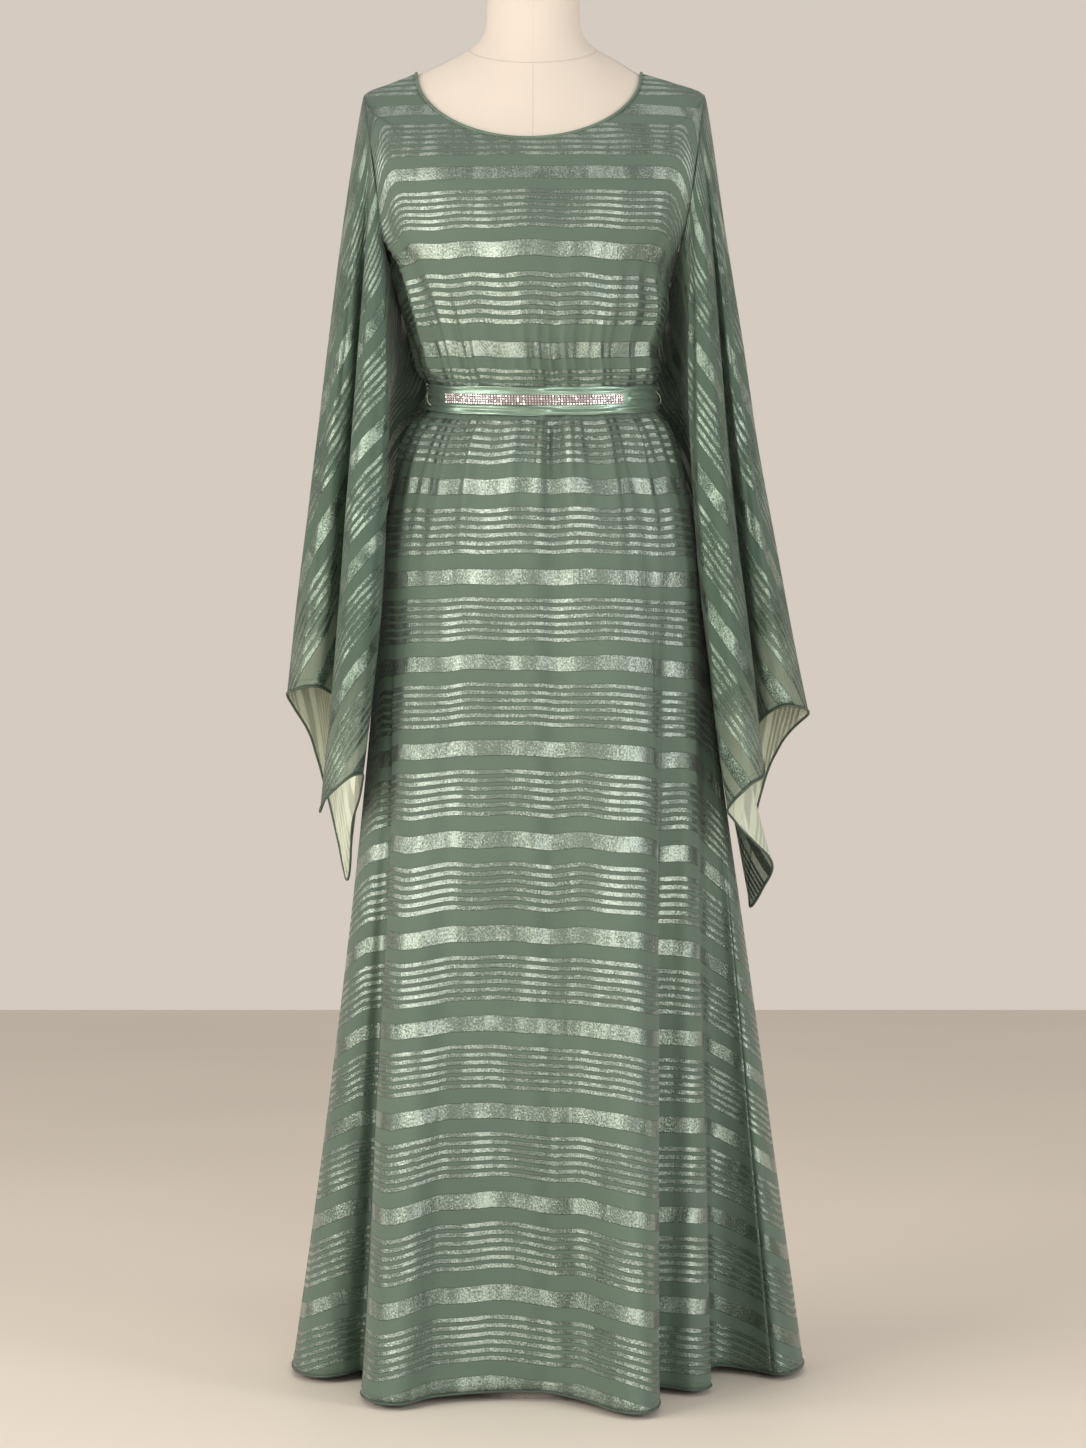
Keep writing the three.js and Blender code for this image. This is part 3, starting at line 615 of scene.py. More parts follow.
@dataclass
class ClothShell:
    """A grid of points made into a thin closed shell of cloth.

    Attributes:
        name: The piece's name.
        points: Rows by columns by 3, in metres.
        cloth_uv: Rows by columns (one more when closed) by 2, in metres on the cloth.
        edge: Distance of each point from the hem, in metres.
        closed: True if the last column meets the first.
        outward: 1 if the grid's normals point out of the garment, else -1.
        thick: The cloth's thickness, in metres.
    """

    name: str
    points: np.ndarray
    cloth_uv: np.ndarray
    edge: np.ndarray
    closed: bool = False
    outward: int = 1
    thick: float = 0.0007

    def build(self, outside: bpy.types.Material, inside: bpy.types.Material) -> bpy.types.Object:
        """Makes the shell.

        Args:
            outside: Material of the outer faces and the edges.
            inside: Material of the inner faces.

        Returns:
            The object.
        """
        rows, columns = self.points.shape[:2]
        normals = grid_normals(self.points, self.closed) * self.outward
        inner = self.points - normals * self.thick
        vertices = np.concatenate([self.points.reshape(-1, 3), inner.reshape(-1, 3)])
        wide = columns if self.closed else columns - 1
        r, c = np.meshgrid(np.arange(rows - 1), np.arange(wide), indexing="ij")
        r, c = r.ravel(), c.ravel()
        following = (c + 1) % columns
        outer_quads = np.stack([r * columns + c, r * columns + following,
                                (r + 1) * columns + following, (r + 1) * columns + c], axis=1)
        uv_at = np.stack([np.stack([r, r, r + 1, r + 1], 1), np.stack([c, c + 1, c + 1, c], 1)], axis=-1)
        if self.outward < 0:
            outer_quads, uv_at = outer_quads[:, ::-1], uv_at[:, ::-1]
        inner_quads, inner_uv = outer_quads[:, ::-1] + rows * columns, uv_at[:, ::-1]
        rims, rim_uv = self._rims(rows, columns, wide)
        quads = np.concatenate([outer_quads, inner_quads, rims])
        places = np.concatenate([uv_at, inner_uv, rim_uv])
        mesh = bpy.data.meshes.new(self.name)
        mesh.from_pydata(vertices.tolist(), [], quads.tolist())
        mesh.polygons.foreach_set("use_smooth", np.ones(len(quads), bool))
        slots = np.zeros(len(quads), np.int32)
        slots[len(outer_quads):len(outer_quads) + len(inner_quads)] = 1
        mesh.polygons.foreach_set("material_index", slots)
        layer = mesh.uv_layers.new(name="Cloth")
        flat = self.cloth_uv[places[..., 0], places[..., 1]].reshape(-1, 2)
        layer.data.foreach_set("uv", flat.ravel())
        hem = mesh.attributes.new("from_hem", "FLOAT", "POINT")
        hem.data.foreach_set("value", np.concatenate([self.edge.ravel(), self.edge.ravel()]))
        mesh.materials.append(outside)
        mesh.materials.append(inside)
        mesh.validate()
        mesh.update()
        return place_loose(mesh, self.name)

    def _rims(self, rows: int, columns: int, wide: int) -> tuple[np.ndarray, np.ndarray]:
        """The narrow faces that close the shell at its edges, with their places on the cloth.

        Args:
            rows: Rows of the grid.
            columns: Columns of the grid.
            wide: Steps along a row.

        Returns:
            The faces' corners, and the row and column of each corner.
        """
        shift = rows * columns
        quads, places = [], []

        def add(a: int, b: int, ra: int, ca: int, rb: int, cb: int) -> None:
            """Adds one rim face from edge a-b."""
            quads.append((b, a, a + shift, b + shift))
            places.append(((rb, cb), (ra, ca), (ra, ca), (rb, cb)))

        for c in range(wide):
            f = (c + 1) % columns
            add(c, f, 0, c, 0, c + 1)
            top = (rows - 1) * columns
            add(top + f, top + c, rows - 1, c + 1, rows - 1, c)
        if not self.closed:
            for r in range(rows - 1):
                add((r + 1) * columns, r * columns, r + 1, 0, r, 0)
                last = columns - 1
                add(r * columns + last, (r + 1) * columns + last, r, last, r + 1, last)
        quads_array, places_array = np.array(quads), np.array(places)
        if self.outward < 0:
            quads_array, places_array = quads_array[:, ::-1], places_array[:, ::-1]
        return quads_array, places_array


class Nodes:
    """A short way to write a material's node tree."""

    def __init__(self, name: str) -> None:
        """Starts an empty material with one shader.

        Args:
            name: The material's name.
        """
        self.material = bpy.data.materials.new(name)
        self.material.use_nodes = True
        self.tree = self.material.node_tree
        self.shader = self.tree.nodes["Principled BSDF"]

    def add(self, kind: str, **settings: object) -> bpy.types.Node:
        """Adds a node.

        Args:
            kind: The node's type.
            **settings: Its properties.

        Returns:
            The node.
        """
        node = self.tree.nodes.new(kind)
        for key, value in settings.items():
            setattr(node, key, value)
        return node

    def feed(self, socket: bpy.types.NodeSocket, value: object) -> None:
        """Sets a socket to a number, a tuple or another node's output.

        Args:
            socket: An input.
            value: What it gets.
        """
        if isinstance(value, bpy.types.NodeSocket):
            self.tree.links.new(value, socket)
        else:
            socket.default_value = value

    def math(self, operation: str, first: object, second: object = 0.0) -> bpy.types.NodeSocket:
        """Adds a math node.

        Args:
            operation: What it works out.
            first: Its first value.
            second: Its second value.

        Returns:
            The result.
        """
        node = self.add("ShaderNodeMath", operation=operation)
        self.feed(node.inputs[0], first)
        self.feed(node.inputs[1], second)
        return node.outputs[0]

    def times(self, first: object, second: object) -> bpy.types.NodeSocket:
        """The product of two values."""
        return self.math("MULTIPLY", first, second)

    def band(self, value: object, middle: float, half: float, soft: float) -> bpy.types.NodeSocket:
        """A band round a middle value.

        Args:
            value: What it reads.
            middle: The band's middle.
            half: Half its width.
            soft: How softly its sides fall.

        Returns:
            1 inside the band and 0 outside.
        """
        away = self.math("ABSOLUTE", self.math("SUBTRACT", value, middle))
        return self.step(away, half + soft, half - soft)

    def step(self, value: object, low: float, high: float, to_low: float = 0.0,
             to_high: float = 1.0) -> bpy.types.NodeSocket:
        """A smooth step.

        Args:
            value: What it reads.
            low: Where it starts.
            high: Where it ends.
            to_low: The result at low.
            to_high: The result at high.

        Returns:
            The result.
        """
        node = self.add("ShaderNodeMapRange", interpolation_type="SMOOTHSTEP")
        self.feed(node.inputs["Value"], value)
        node.inputs["From Min"].default_value = low
        node.inputs["From Max"].default_value = high
        node.inputs["To Min"].default_value = to_low
        node.inputs["To Max"].default_value = to_high
        return node.outputs["Result"]

    def mix(self, share: object, first: object, second: object) -> bpy.types.NodeSocket:
        """Mixes two colours.

        Args:
            share: The second colour's share.
            first: The colour at 0.
            second: The colour at 1.

        Returns:
            The colour.
        """
        node = self.add("ShaderNodeMix", data_type="RGBA")
        self.feed(node.inputs["Factor"], share)
        self.feed(node.inputs["A"], first)
        self.feed(node.inputs["B"], second)
        return node.outputs["Result"]

    def noise(self, vector: object, scale: float, detail: float = 2.0,
              rough: float = 0.5) -> bpy.types.NodeSocket:
        """Noise of about 0 to 1.

        Args:
            vector: Where it is read.
            scale: How fine it is.
            detail: How many finer layers it has.
            rough: How strong those are.

        Returns:
            The noise.
        """
        node = self.add("ShaderNodeTexNoise")
        self.feed(node.inputs["Vector"], vector)
        node.inputs["Scale"].default_value = scale
        node.inputs["Detail"].default_value = detail
        node.inputs["Roughness"].default_value = rough
        return node.outputs["Fac"]

    def stretched(self, vector: object, scale: tuple[float, float, float]) -> bpy.types.NodeSocket:
        """The vector with each axis scaled.

        Args:
            vector: A place.
            scale: The scale of each axis.

        Returns:
            The scaled place.
        """
        node = self.add("ShaderNodeMapping")
        self.feed(node.inputs["Vector"], vector)
        node.inputs["Scale"].default_value = scale
        return node.outputs["Vector"]

    def bump(self, height: object, distance: float, strength: float,
             under: object = None) -> bpy.types.NodeSocket:
        """A bump on top of another one.

        Args:
            height: Its height, 0 to 1.
            distance: What 1 stands for, in metres.
            strength: Its share of the full slope.
            under: The normal under it.

        Returns:
            The bent normal.
        """
        node = self.add("ShaderNodeBump")
        node.inputs["Distance"].default_value = distance
        node.inputs["Strength"].default_value = strength
        self.feed(node.inputs["Height"], height)
        if under is not None:
            self.feed(node.inputs["Normal"], under)
        return node.outputs["Normal"]


@dataclass(frozen=True)
class StripedChiffon:
    """Matte chiffon with woven satin stripes: one wide, then six thin, over and over.

    Attributes:
        name: The material's name.
        ground: Colour of the chiffon.
        satin: Colour of the stripes.
        glint_colour: Colour of the stripes' bright flecks, which are painted glints.
        clear: How much light passes the plain cloth.
        glitter: How strongly the stripes' crushed grain shows, both in its bumps and in its painted glints.
        metal: How much the stripes mirror the room.
        hem_line: How far from the edge the hem is stitched, in metres.
        wide_half: Half the wide stripe, as a share of the period.
        thin_half: Half the group of thin stripes, as a share of the period.
        thin_step: From one thin stripe to the next, as a share of the period.
        thin_fill: Half a thin stripe, as a share of that step.
    """

    name: str
    ground: tuple[float, float, float]
    satin: tuple[float, float, float]
    glint_colour: tuple[float, float, float] = (0.41, 0.49, 0.42)
    clear: float = 0.0
    glitter: float = 1.0
    metal: float = 0.75
    hem_line: float = 0.008
    wide_half: float = 0.089
    thin_half: float = 0.27
    thin_step: float = 0.09
    thin_fill: float = 0.28

    def stripes(self, n: Nodes, down: bpy.types.NodeSocket) -> bpy.types.NodeSocket:
        """The pattern of the stripes.

        Args:
            n: The material's nodes.
            down: Metres down the cloth.

        Returns:
            1 on the satin and 0 on the plain chiffon.
        """
        period = STRIPE_PERIOD * MM
        phase = n.math("FRACT", n.math("ADD", n.math("DIVIDE", down, period), 0.5))
        wide = n.band(phase, 0.5, self.wide_half, 0.004)
        moved = n.math("FRACT", n.math("ADD", phase, 0.5))
        middle = 0.4905
        inside = n.band(moved, middle, self.thin_half, 0.002)
        from_first = n.math("SUBTRACT", moved, middle - self.thin_half)
        step = n.math("FRACT", n.math("DIVIDE", from_first, self.thin_step))
        thin = n.times(n.band(step, 0.5, self.thin_fill, 0.035), inside)
        return n.math("MAXIMUM", wide, thin)

    def make(self) -> bpy.types.Material:
        """Builds the material.

        Returns:
            The material.
        """
        n = Nodes(self.name)
        uv = n.add("ShaderNodeUVMap", uv_map="Cloth").outputs["UV"]
        split = n.add("ShaderNodeSeparateXYZ")
        n.feed(split.inputs[0], uv)
        wander = n.times(n.math("SUBTRACT", n.noise(uv, 10.0, 1.0), 0.5), 0.0012)
        satin = self.stripes(n, n.math("ADD", split.outputs["Y"], wander))
        grain = n.noise(n.stretched(uv, (1.0, 0.8, 1.0)), 520.0, 2.0, 0.65)
        mottle = n.noise(n.stretched(uv, (1.0, 0.3, 1.0)), 60.0, 2.0, 0.55)
        weave = n.noise(n.stretched(uv, (1.6, 1.0, 1.0)), 900.0, 1.0)
        hem = n.add("ShaderNodeAttribute", attribute_name="from_hem").outputs["Fac"]
        roll = n.step(hem, 0.0034, 0.0012)
        # The stripes' colour carries painted glints on top of the satin's uneven tone.
        colour = n.mix(satin, self._ground(n, uv, weave), self._satin_with_painted_glints(n, uv, grain, mottle))
        line = n.band(hem, self.hem_line, 0.0005, 0.0004)
        dark_edge = n.math("MAXIMUM", n.times(line, 0.55), roll)
        n.feed(n.shader.inputs["Base Color"], n.mix(n.times(dark_edge, 0.6), colour, tint(self.ground, 0.3)))
        n.feed(n.shader.inputs["Metallic"], n.times(satin, self.metal))
        n.feed(n.shader.inputs["Roughness"], n.math("SUBTRACT", 0.78, n.times(satin, 0.42)))
        crinkle = n.times(n.math("ADD", grain, n.times(mottle, 1.4)), satin)
        normal = n.bump(n.noise(n.stretched(uv, (1.0, 0.35, 1.0)), 46.0, 3.0), 0.0012, 0.22)
        normal = n.bump(satin, 0.0003, 0.5, normal)
        normal = n.bump(crinkle, 0.0011, 0.9 * self.glitter, normal)
        n.feed(n.shader.inputs["Normal"], n.bump(weave, 0.00015, 0.35, normal))
        n.shader.inputs["Sheen Weight"].default_value = 0.12
        n.shader.inputs["Sheen Roughness"].default_value = 0.45
        if self.clear:
            solid = n.math("MAXIMUM", n.times(satin, 0.75), roll)
            clear = n.step(hem, 0.17, 0.03, 0.1 * self.clear, self.clear)
            passed = n.times(n.math("SUBTRACT", 1.0, solid), clear)
            n.feed(n.shader.inputs["Alpha"], n.math("SUBTRACT", 1.0, passed))
        return n.material

    def _ground(self, n: Nodes, uv: bpy.types.NodeSocket,
                weave: bpy.types.NodeSocket) -> bpy.types.NodeSocket:
        """The plain chiffon's colour.

        Args:
            n: The material's nodes.
            uv: The place on the cloth.
            weave: The weave's noise.

        Returns:
            The colour.
        """
        broad = n.noise(uv, 5.0, 2.0)
        ground = n.mix(n.step(broad, 0.35, 0.7), tint(self.ground, 0.94), tint(self.ground, 1.06))
        return n.mix(n.times(weave, 0.35), ground, tint(self.ground, 0.72))

    def _satin_with_painted_glints(self, n: Nodes, uv: bpy.types.NodeSocket, grain: bpy.types.NodeSocket,
               mottle: bpy.types.NodeSocket) -> bpy.types.NodeSocket:
        """The satin's colour: its uneven tone, with bright flecks that are painted glints.

        Args:
            n: The material's nodes.
            uv: The place on the cloth.
            grain: Fine noise.
            mottle: Broader noise.

        Returns:
            The colour.
        """
        segments = n.noise(n.stretched(uv, (1.0, 0.1, 1.0)), 21.0, 2.0, 0.5)
        speckle = n.math("ADD", n.times(grain, 0.62), n.times(mottle, 0.38))
        level = n.math("ADD", speckle, n.step(segments, 0.32, 0.66, -0.09, 0.06))
        # Bright flecks where the noise is high: painted glints of the crushed satin.
        painted_glints = n.step(level, 0.40, 0.65)
        return n.mix(n.times(painted_glints, self.glitter), tint(self.satin, 0.62), tint(self.glint_colour))


@dataclass(frozen=True)
class SatinCloth:
    """Smooth satin with lengthwise creases."""

    name: str
    colour: tuple[float, float, float]
    roughness: float = 0.36
    metallic: float = 0.35

    def make(self) -> bpy.types.Material:
        """Builds the material.

        Returns:
            The material.
        """
        n = Nodes(self.name)
        place = n.add("ShaderNodeTexCoord").outputs["Object"]
        threads = n.noise(n.stretched(place, (1.0, 1.0, 9.0)), 160.0, 3.0)
        slubs = n.noise(n.stretched(place, (1.0, 1.0, 5.0)), 30.0, 2.0)
        colour = n.mix(n.step(slubs, 0.3, 0.7), tint(self.colour, 0.85), tint(self.colour, 1.15))
        colour = n.mix(n.times(threads, 0.3), colour, tint(self.colour, 0.7))
        n.feed(n.shader.inputs["Base Color"], colour)
        n.shader.inputs["Metallic"].default_value = self.metallic
        n.feed(n.shader.inputs["Roughness"], n.step(threads, 0.3, 0.8, self.roughness, self.roughness + 0.14))
        n.feed(n.shader.inputs["Normal"], n.bump(threads, 0.0004, 0.4))
        n.shader.inputs["Sheen Weight"].default_value = 0.1
        return n.material


@dataclass(frozen=True)
class FormCover:
    """The tight cream cover of the dress form, with its sewn seams."""

    name: str = "form_cover_cloth"
    colour: tuple[float, float, float] = (0.655, 0.575, 0.50)
    neck_seam: float = 1.438
    neck_slope: float = 0.45
    centre_seam: float = -0.005

    def make(self) -> bpy.types.Material:
        """Builds the material.

        Returns:
            The material.
        """
        n = Nodes(self.name)
        place = n.add("ShaderNodeTexCoord").outputs["Object"]
        split = n.add("ShaderNodeSeparateXYZ")
        n.feed(split.inputs[0], place)
        x, y, z = (split.outputs[i] for i in range(3))
        tilt = n.math("SUBTRACT", z, n.times(y, self.neck_slope))
        neck = n.band(tilt, self.neck_seam, 0.0006, 0.0005)
        centre = n.band(x, self.centre_seam, 0.0005, 0.0005)
        side = n.band(y, 0.0, 0.0005, 0.0005)
        below = n.step(tilt, self.neck_seam + 0.0005, self.neck_seam - 0.0005)
        upright = n.times(n.math("MAXIMUM", centre, side), n.math("ADD", n.times(below, 0.5), 0.3))
        seams = n.math("MAXIMUM", neck, upright)
        weave = n.noise(place, 1400.0, 1.0)
        slub = n.noise(n.stretched(place, (1.0, 1.0, 0.3)), 220.0, 2.0)
        broad = n.noise(place, 7.0, 2.0)
        colour = n.mix(n.step(broad, 0.3, 0.7), tint(self.colour, 0.96), tint(self.colour, 1.04))
        colour = n.mix(n.times(slub, 0.12), colour, tint(self.colour, 0.85))
        colour = n.mix(n.times(seams, 0.22), colour, tint(self.colour, 0.6))
        n.feed(n.shader.inputs["Base Color"], colour)
        n.shader.inputs["Roughness"].default_value = 0.8
        n.shader.inputs["Sheen Weight"].default_value = 0.15
        normal = n.bump(weave, 0.0002, 0.35)
        n.feed(n.shader.inputs["Normal"], n.bump(n.math("SUBTRACT", 1.0, seams), 0.0008, 0.6, normal))
        return n.material


@dataclass(frozen=True)
class HardFinish:
    """Painted metal or cut glass, with fine surface unevenness."""

    name: str
    colour: tuple[float, float, float]
    roughness: float
    metallic: float
    grain: float = 300.0

    def make(self) -> bpy.types.Material:
        """Builds the material.

        Returns:
            The material.
        """
        n = Nodes(self.name)
        place = n.add("ShaderNodeTexCoord").outputs["Object"]
        grain = n.noise(place, self.grain, 2.0)
        colour = n.mix(n.step(grain, 0.3, 0.7), tint(self.colour, 0.8), tint(self.colour))
        n.feed(n.shader.inputs["Base Color"], colour)
        n.shader.inputs["Metallic"].default_value = self.metallic
        dull = min(1.0, self.roughness * 1.25)
        n.feed(n.shader.inputs["Roughness"], n.step(grain, 0.2, 0.8, self.roughness * 0.8, dull))
        n.feed(n.shader.inputs["Normal"], n.bump(grain, 0.0001, 0.15))
        return n.material


class GeometryTree:
    """A geometry node tree with named inputs, run once on a carrier that is then removed."""

    def __init__(self, name: str) -> None:
        """Starts a tree with geometry in and out.

        Args:
            name: The tree's name.
        """
        self.tree = bpy.data.node_groups.new(name, "GeometryNodeTree")
        self.tree.interface.new_socket("Geometry", in_out="INPUT", socket_type="NodeSocketGeometry")
        self.tree.interface.new_socket("Geometry", in_out="OUTPUT", socket_type="NodeSocketGeometry")
        self.entry = self.tree.nodes.new("NodeGroupInput")
        self.exit = self.tree.nodes.new("NodeGroupOutput")

    def size(self, name: str, value: float) -> bpy.types.NodeSocket:
        """Adds a named size.

        Args:
            name: The input's name.
            value: Its default.

        Returns:
            The input, for the tree's own nodes.
        """
        socket = self.tree.interface.new_socket(name, in_out="INPUT", socket_type="NodeSocketFloat")
        socket.default_value = value
        return self.entry.outputs[name]

    def node(self, kind: str, **settings: object) -> bpy.types.Node:
        """Adds a node and sets its properties.

        Args:
            kind: The node's type.
            **settings: Its properties.

        Returns:
            The node.
        """
        made = self.tree.nodes.new(kind)
        for key, value in settings.items():
            setattr(made, key, value)
        return made

    def link(self, first: bpy.types.NodeSocket, second: bpy.types.NodeSocket) -> None:
        """Joins two sockets."""
        self.tree.links.new(first, second)

    def finish(self, geometry: bpy.types.NodeSocket, material: bpy.types.Material, smooth: bool) -> None:
        """Ends the tree in plain faces with a material.

        Args:
            geometry: What the tree made.
            material: Its finish.
            smooth: Whether its faces are shaded smooth.
        """
        real = self.node("GeometryNodeRealizeInstances")
        shade = self.node("GeometryNodeSetShadeSmooth")
        shade.inputs["Shade Smooth"].default_value = smooth
        dress = self.node("GeometryNodeSetMaterial")
        dress.inputs["Material"].default_value = material
        self.link(geometry, real.inputs[0])
        self.link(real.outputs[0], shade.inputs["Geometry"])
        self.link(shade.outputs[0], dress.inputs["Geometry"])
        self.link(dress.outputs[0], self.exit.inputs[0])

    def apply(self, carrier: bpy.types.Object, name: str, sizes: dict[str, float]) -> bpy.types.Object:
        """Runs the tree on a carrier mesh or curve.

        Args:
            carrier: What the tree reads; it is removed afterwards.
            name: The result's name.
            sizes: Values of the named inputs.

        Returns:
            A plain mesh object.
        """
        modifier = carrier.modifiers.new("made", "NODES")
        modifier.node_group = self.tree
        for item in self.tree.interface.items_tree:
            if item.in_out == "INPUT" and item.name in sizes:
                modifier[item.identifier] = sizes[item.name]
        graph = bpy.context.evaluated_depsgraph_get()
        mesh = bpy.data.meshes.new_from_object(carrier.evaluated_get(graph), depsgraph=graph)
        mesh.name = name
        bpy.data.objects.remove(carrier, do_unlink=True)
        return place_loose(mesh, name)


def line_carrier(points: np.ndarray, closed: bool) -> bpy.types.Object:
    """A curve through points, for a tree to follow.

    Args:
        points: The points, in metres.
        closed: Whether the last meets the first.

    Returns:
        The curve's object.
    """
    curve = bpy.data.curves.new("line", "CURVE")
    curve.dimensions = "3D"
    spline = curve.splines.new("POLY")
    spline.points.add(len(points) - 1)
    spline.points.foreach_set("co", np.concatenate([points, np.ones((len(points), 1))], axis=1).ravel())
    spline.use_cyclic_u = closed
    thing = bpy.data.objects.new("line", curve)
    bpy.context.scene.collection.objects.link(thing)
    return thing


@dataclass
class RolledEdge:
    """A narrow rolled and sewn edge that follows a line of the cloth."""

    name: str
    path: np.ndarray
    radius: float
    closed: bool
    material: bpy.types.Material

    def build(self) -> bpy.types.Object:
        """Sweeps a round section along the path and returns the object.

        Returns:
            The object.
        """
        tree = GeometryTree("rolled_edge_tree")
        radius = tree.size("Radius", self.radius)
        circle = tree.node("GeometryNodeCurvePrimitiveCircle")
        circle.inputs["Resolution"].default_value = 8
        tree.link(radius, circle.inputs["Radius"])
        sweep = tree.node("GeometryNodeCurveToMesh")
        sweep.inputs["Fill Caps"].default_value = True
        tree.link(tree.entry.outputs["Geometry"], sweep.inputs["Curve"])
        tree.link(circle.outputs["Curve"], sweep.inputs["Profile Curve"])
        tree.finish(sweep.outputs["Mesh"], self.material, True)
        return tree.apply(line_carrier(self.path, self.closed), self.name, {"Radius": self.radius})


@dataclass
class StitchLine:
    """A row of short stitches along a line of the cloth."""

    name: str
    path: np.ndarray
    closed: bool
    material: bpy.types.Material
    pitch: float = 0.003
    length: float = 0.0019
    thick: float = 0.0003

    def build(self) -> bpy.types.Object:
        """Lays the stitches and returns the object.

        Returns:
            The object.
        """
        tree = GeometryTree("stitch_tree")
        pitch = tree.size("Pitch", self.pitch)
        length = tree.size("Stitch Length", self.length)
        thick = tree.size("Thread Radius", self.thick)
        spaced = tree.node("GeometryNodeCurveToPoints", mode="LENGTH")
        tree.link(tree.entry.outputs["Geometry"], spaced.inputs["Curve"])
        tree.link(pitch, spaced.inputs["Length"])
        stitch = tree.node("GeometryNodeMeshCylinder")
        stitch.inputs["Vertices"].default_value = 6
        tree.link(thick, stitch.inputs["Radius"])
        tree.link(length, stitch.inputs["Depth"])
        turn = tree.node("FunctionNodeAlignEulerToVector", axis="Z")
        tree.link(spaced.outputs["Tangent"], turn.inputs["Vector"])
        put = tree.node("GeometryNodeInstanceOnPoints")
        tree.link(spaced.outputs["Points"], put.inputs["Points"])
        tree.link(stitch.outputs["Mesh"], put.inputs["Instance"])
        tree.link(turn.outputs["Rotation"], put.inputs["Rotation"])
        tree.finish(put.outputs["Instances"], self.material, True)
        sizes = {"Pitch": self.pitch, "Stitch Length": self.length, "Thread Radius": self.thick}
        return tree.apply(line_carrier(self.path, self.closed), self.name, sizes)


@dataclass
class Finishes:
    """Every material of the scene."""

    ground: tuple[float, float, float] = (0.097, 0.146, 0.106)
    satin: tuple[float, float, float] = (0.21, 0.275, 0.22)

    def __post_init__(self) -> None:
        """Makes the materials."""
        inner_ground, inner_satin = tint(self.ground, 0.9)[:3], tint(self.satin, 0.7)[:3]
        self.body_cloth = StripedChiffon("striped_chiffon_body", self.ground, self.satin).make()
        self.body_inside = StripedChiffon(
            "striped_chiffon_body_inside", inner_ground, inner_satin, glitter=0.3).make()
        # The sleeves use a darker copy of the body's striped chiffon: painted shade.
        self.sleeve_cloth = StripedChiffon(
            "striped_chiffon_sleeve", (0.066, 0.114, 0.078), (0.130, 0.195, 0.145), (0.33, 0.42, 0.34),
            clear=0.45, metal=0.85).make()
        # The sleeves' inner faces are pale beige to stand in for light passing through the sheer cloth:
        # painted light.
        self.sleeve_inside_painted_light = StripedChiffon(
            "striped_chiffon_sleeve_inside", (0.80, 0.85, 0.67), (0.70, 0.75, 0.60),
            clear=0.3, glitter=0.1, metal=0.1).make()
        self.edge = SatinCloth("rolled_edge_satin", (0.055, 0.085, 0.060), 0.5, 0.1).make()
        self.binding = SatinCloth("neck_binding_satin", (0.13, 0.18, 0.13), 0.45, 0.2).make()
        self.belt = SatinCloth("belt_satin", (0.235, 0.335, 0.26), 0.28, 0.68).make()
        self.thread = HardFinish("sewing_thread", (0.20, 0.26, 0.20), 0.6, 0.0).make()
        self.pale_thread = HardFinish("loop_thread", (0.50, 0.50, 0.40), 0.6, 0.0).make()
        self.stones = HardFinish("cut_stones", (0.88, 0.80, 0.79), 0.16, 0.6, 160.0).make()
        self.setting = HardFinish("stone_setting", (0.20, 0.16, 0.15), 0.45, 0.4).make()
        self.cover = FormCover().make()
        # The stand is dark so that its foot under the hem passes for the shadow there: painted shade.
        self.metal = HardFinish("stand_dark_as_painted_shade", (0.26, 0.24, 0.21), 0.5, 0.2).make()


@dataclass
class GarmentPanel:
    """The front or the back, one piece from the shoulders to the hem.

    Attributes:
        panel: Which of the two.
        form: The shape that it hangs in.
        across_steps: Steps of its grid from side to side.
        skirt_steps: Rows of its grid below the hips.
        bodice_steps: Rows of its grid above them.
        flat: The cut's length and width, in metres.
        cut_area: The cut's area, in square metres.
        hem_radius: Half the rolled hem's thickness, in metres.
        hem_stitch: How far above the edge the hem is stitched, in metres.
    """

    panel: Panel
    form: WornForm
    across_steps: int
    skirt_steps: int
    # flat: The cut's length and width, in metres; not used.
    bodice_steps: int
    # cut_area: The cut's area, in square metres; not used.
    flat: tuple[float, float]
    cut_area: float
    hem_radius: float = 0.0014
    hem_stitch: float = 0.008

    def grid(self) -> tuple[np.ndarray, np.ndarray, np.ndarray]:
        """The places of the grid's points.

        Returns:
            across, level and angle, each rows by columns.
        """
        skirt = -1 + np.linspace(0, 1, self.skirt_steps, endpoint=False)
        bodice = np.linspace(0, NECKLINE, self.bodice_steps)
        levels = np.concatenate([skirt, bodice])
        across, level = np.meshgrid(np.linspace(-1, 1, self.across_steps + 1), levels)
        return across, level, self.form.panel_angle(self.panel, across, level)

    def build(self, finishes: Finishes) -> list[bpy.types.Object]:
        """Builds the panel with its hem and stitching.

        Args:
            finishes: The scene's materials.

        Returns:
            The panel first, then the pieces on it.
        """
        across, level, angle = self.grid()
        points = self.form.surface(angle, level)
        weft = self.form.weft(angle, level, points, across)
        around = running_length(points, 1) * MM
        around -= around[:, around.shape[1] // 2][:, None]
        from_hem = running_length(points, 0) * MM
        outward = 1 if self.panel is Panel.FRONT else -1
        name = f"{self.panel.value}_panel"
        places = np.stack([around, weft], -1)
        shell = ClothShell(f"{name}_cloth", points * MM, places, from_hem, outward=outward)
        cloth = shell.build(finishes.body_cloth, finishes.body_inside)
        hem_path = points[0] * MM + np.array([0, 0, 0.0012])
        edge = RolledEdge(f"{name}_hem_roll", hem_path, self.hem_radius, False, finishes.edge).build()
        out = grid_normals(points * MM, False) * outward
        row = int(np.argmax(from_hem[:, 0] > self.hem_stitch))
        stitch_path = points[row] * MM + out[row] * 0.0002
        stitches = StitchLine(f"{name}_hem_stitches", stitch_path, False, finishes.thread).build()
        for piece in (cloth, edge, stitches):
            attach(piece, BODY)
        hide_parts(name)
        log.info("%s: %d by %d points", name, *points.shape[:2])
        return [cloth, edge, stitches]


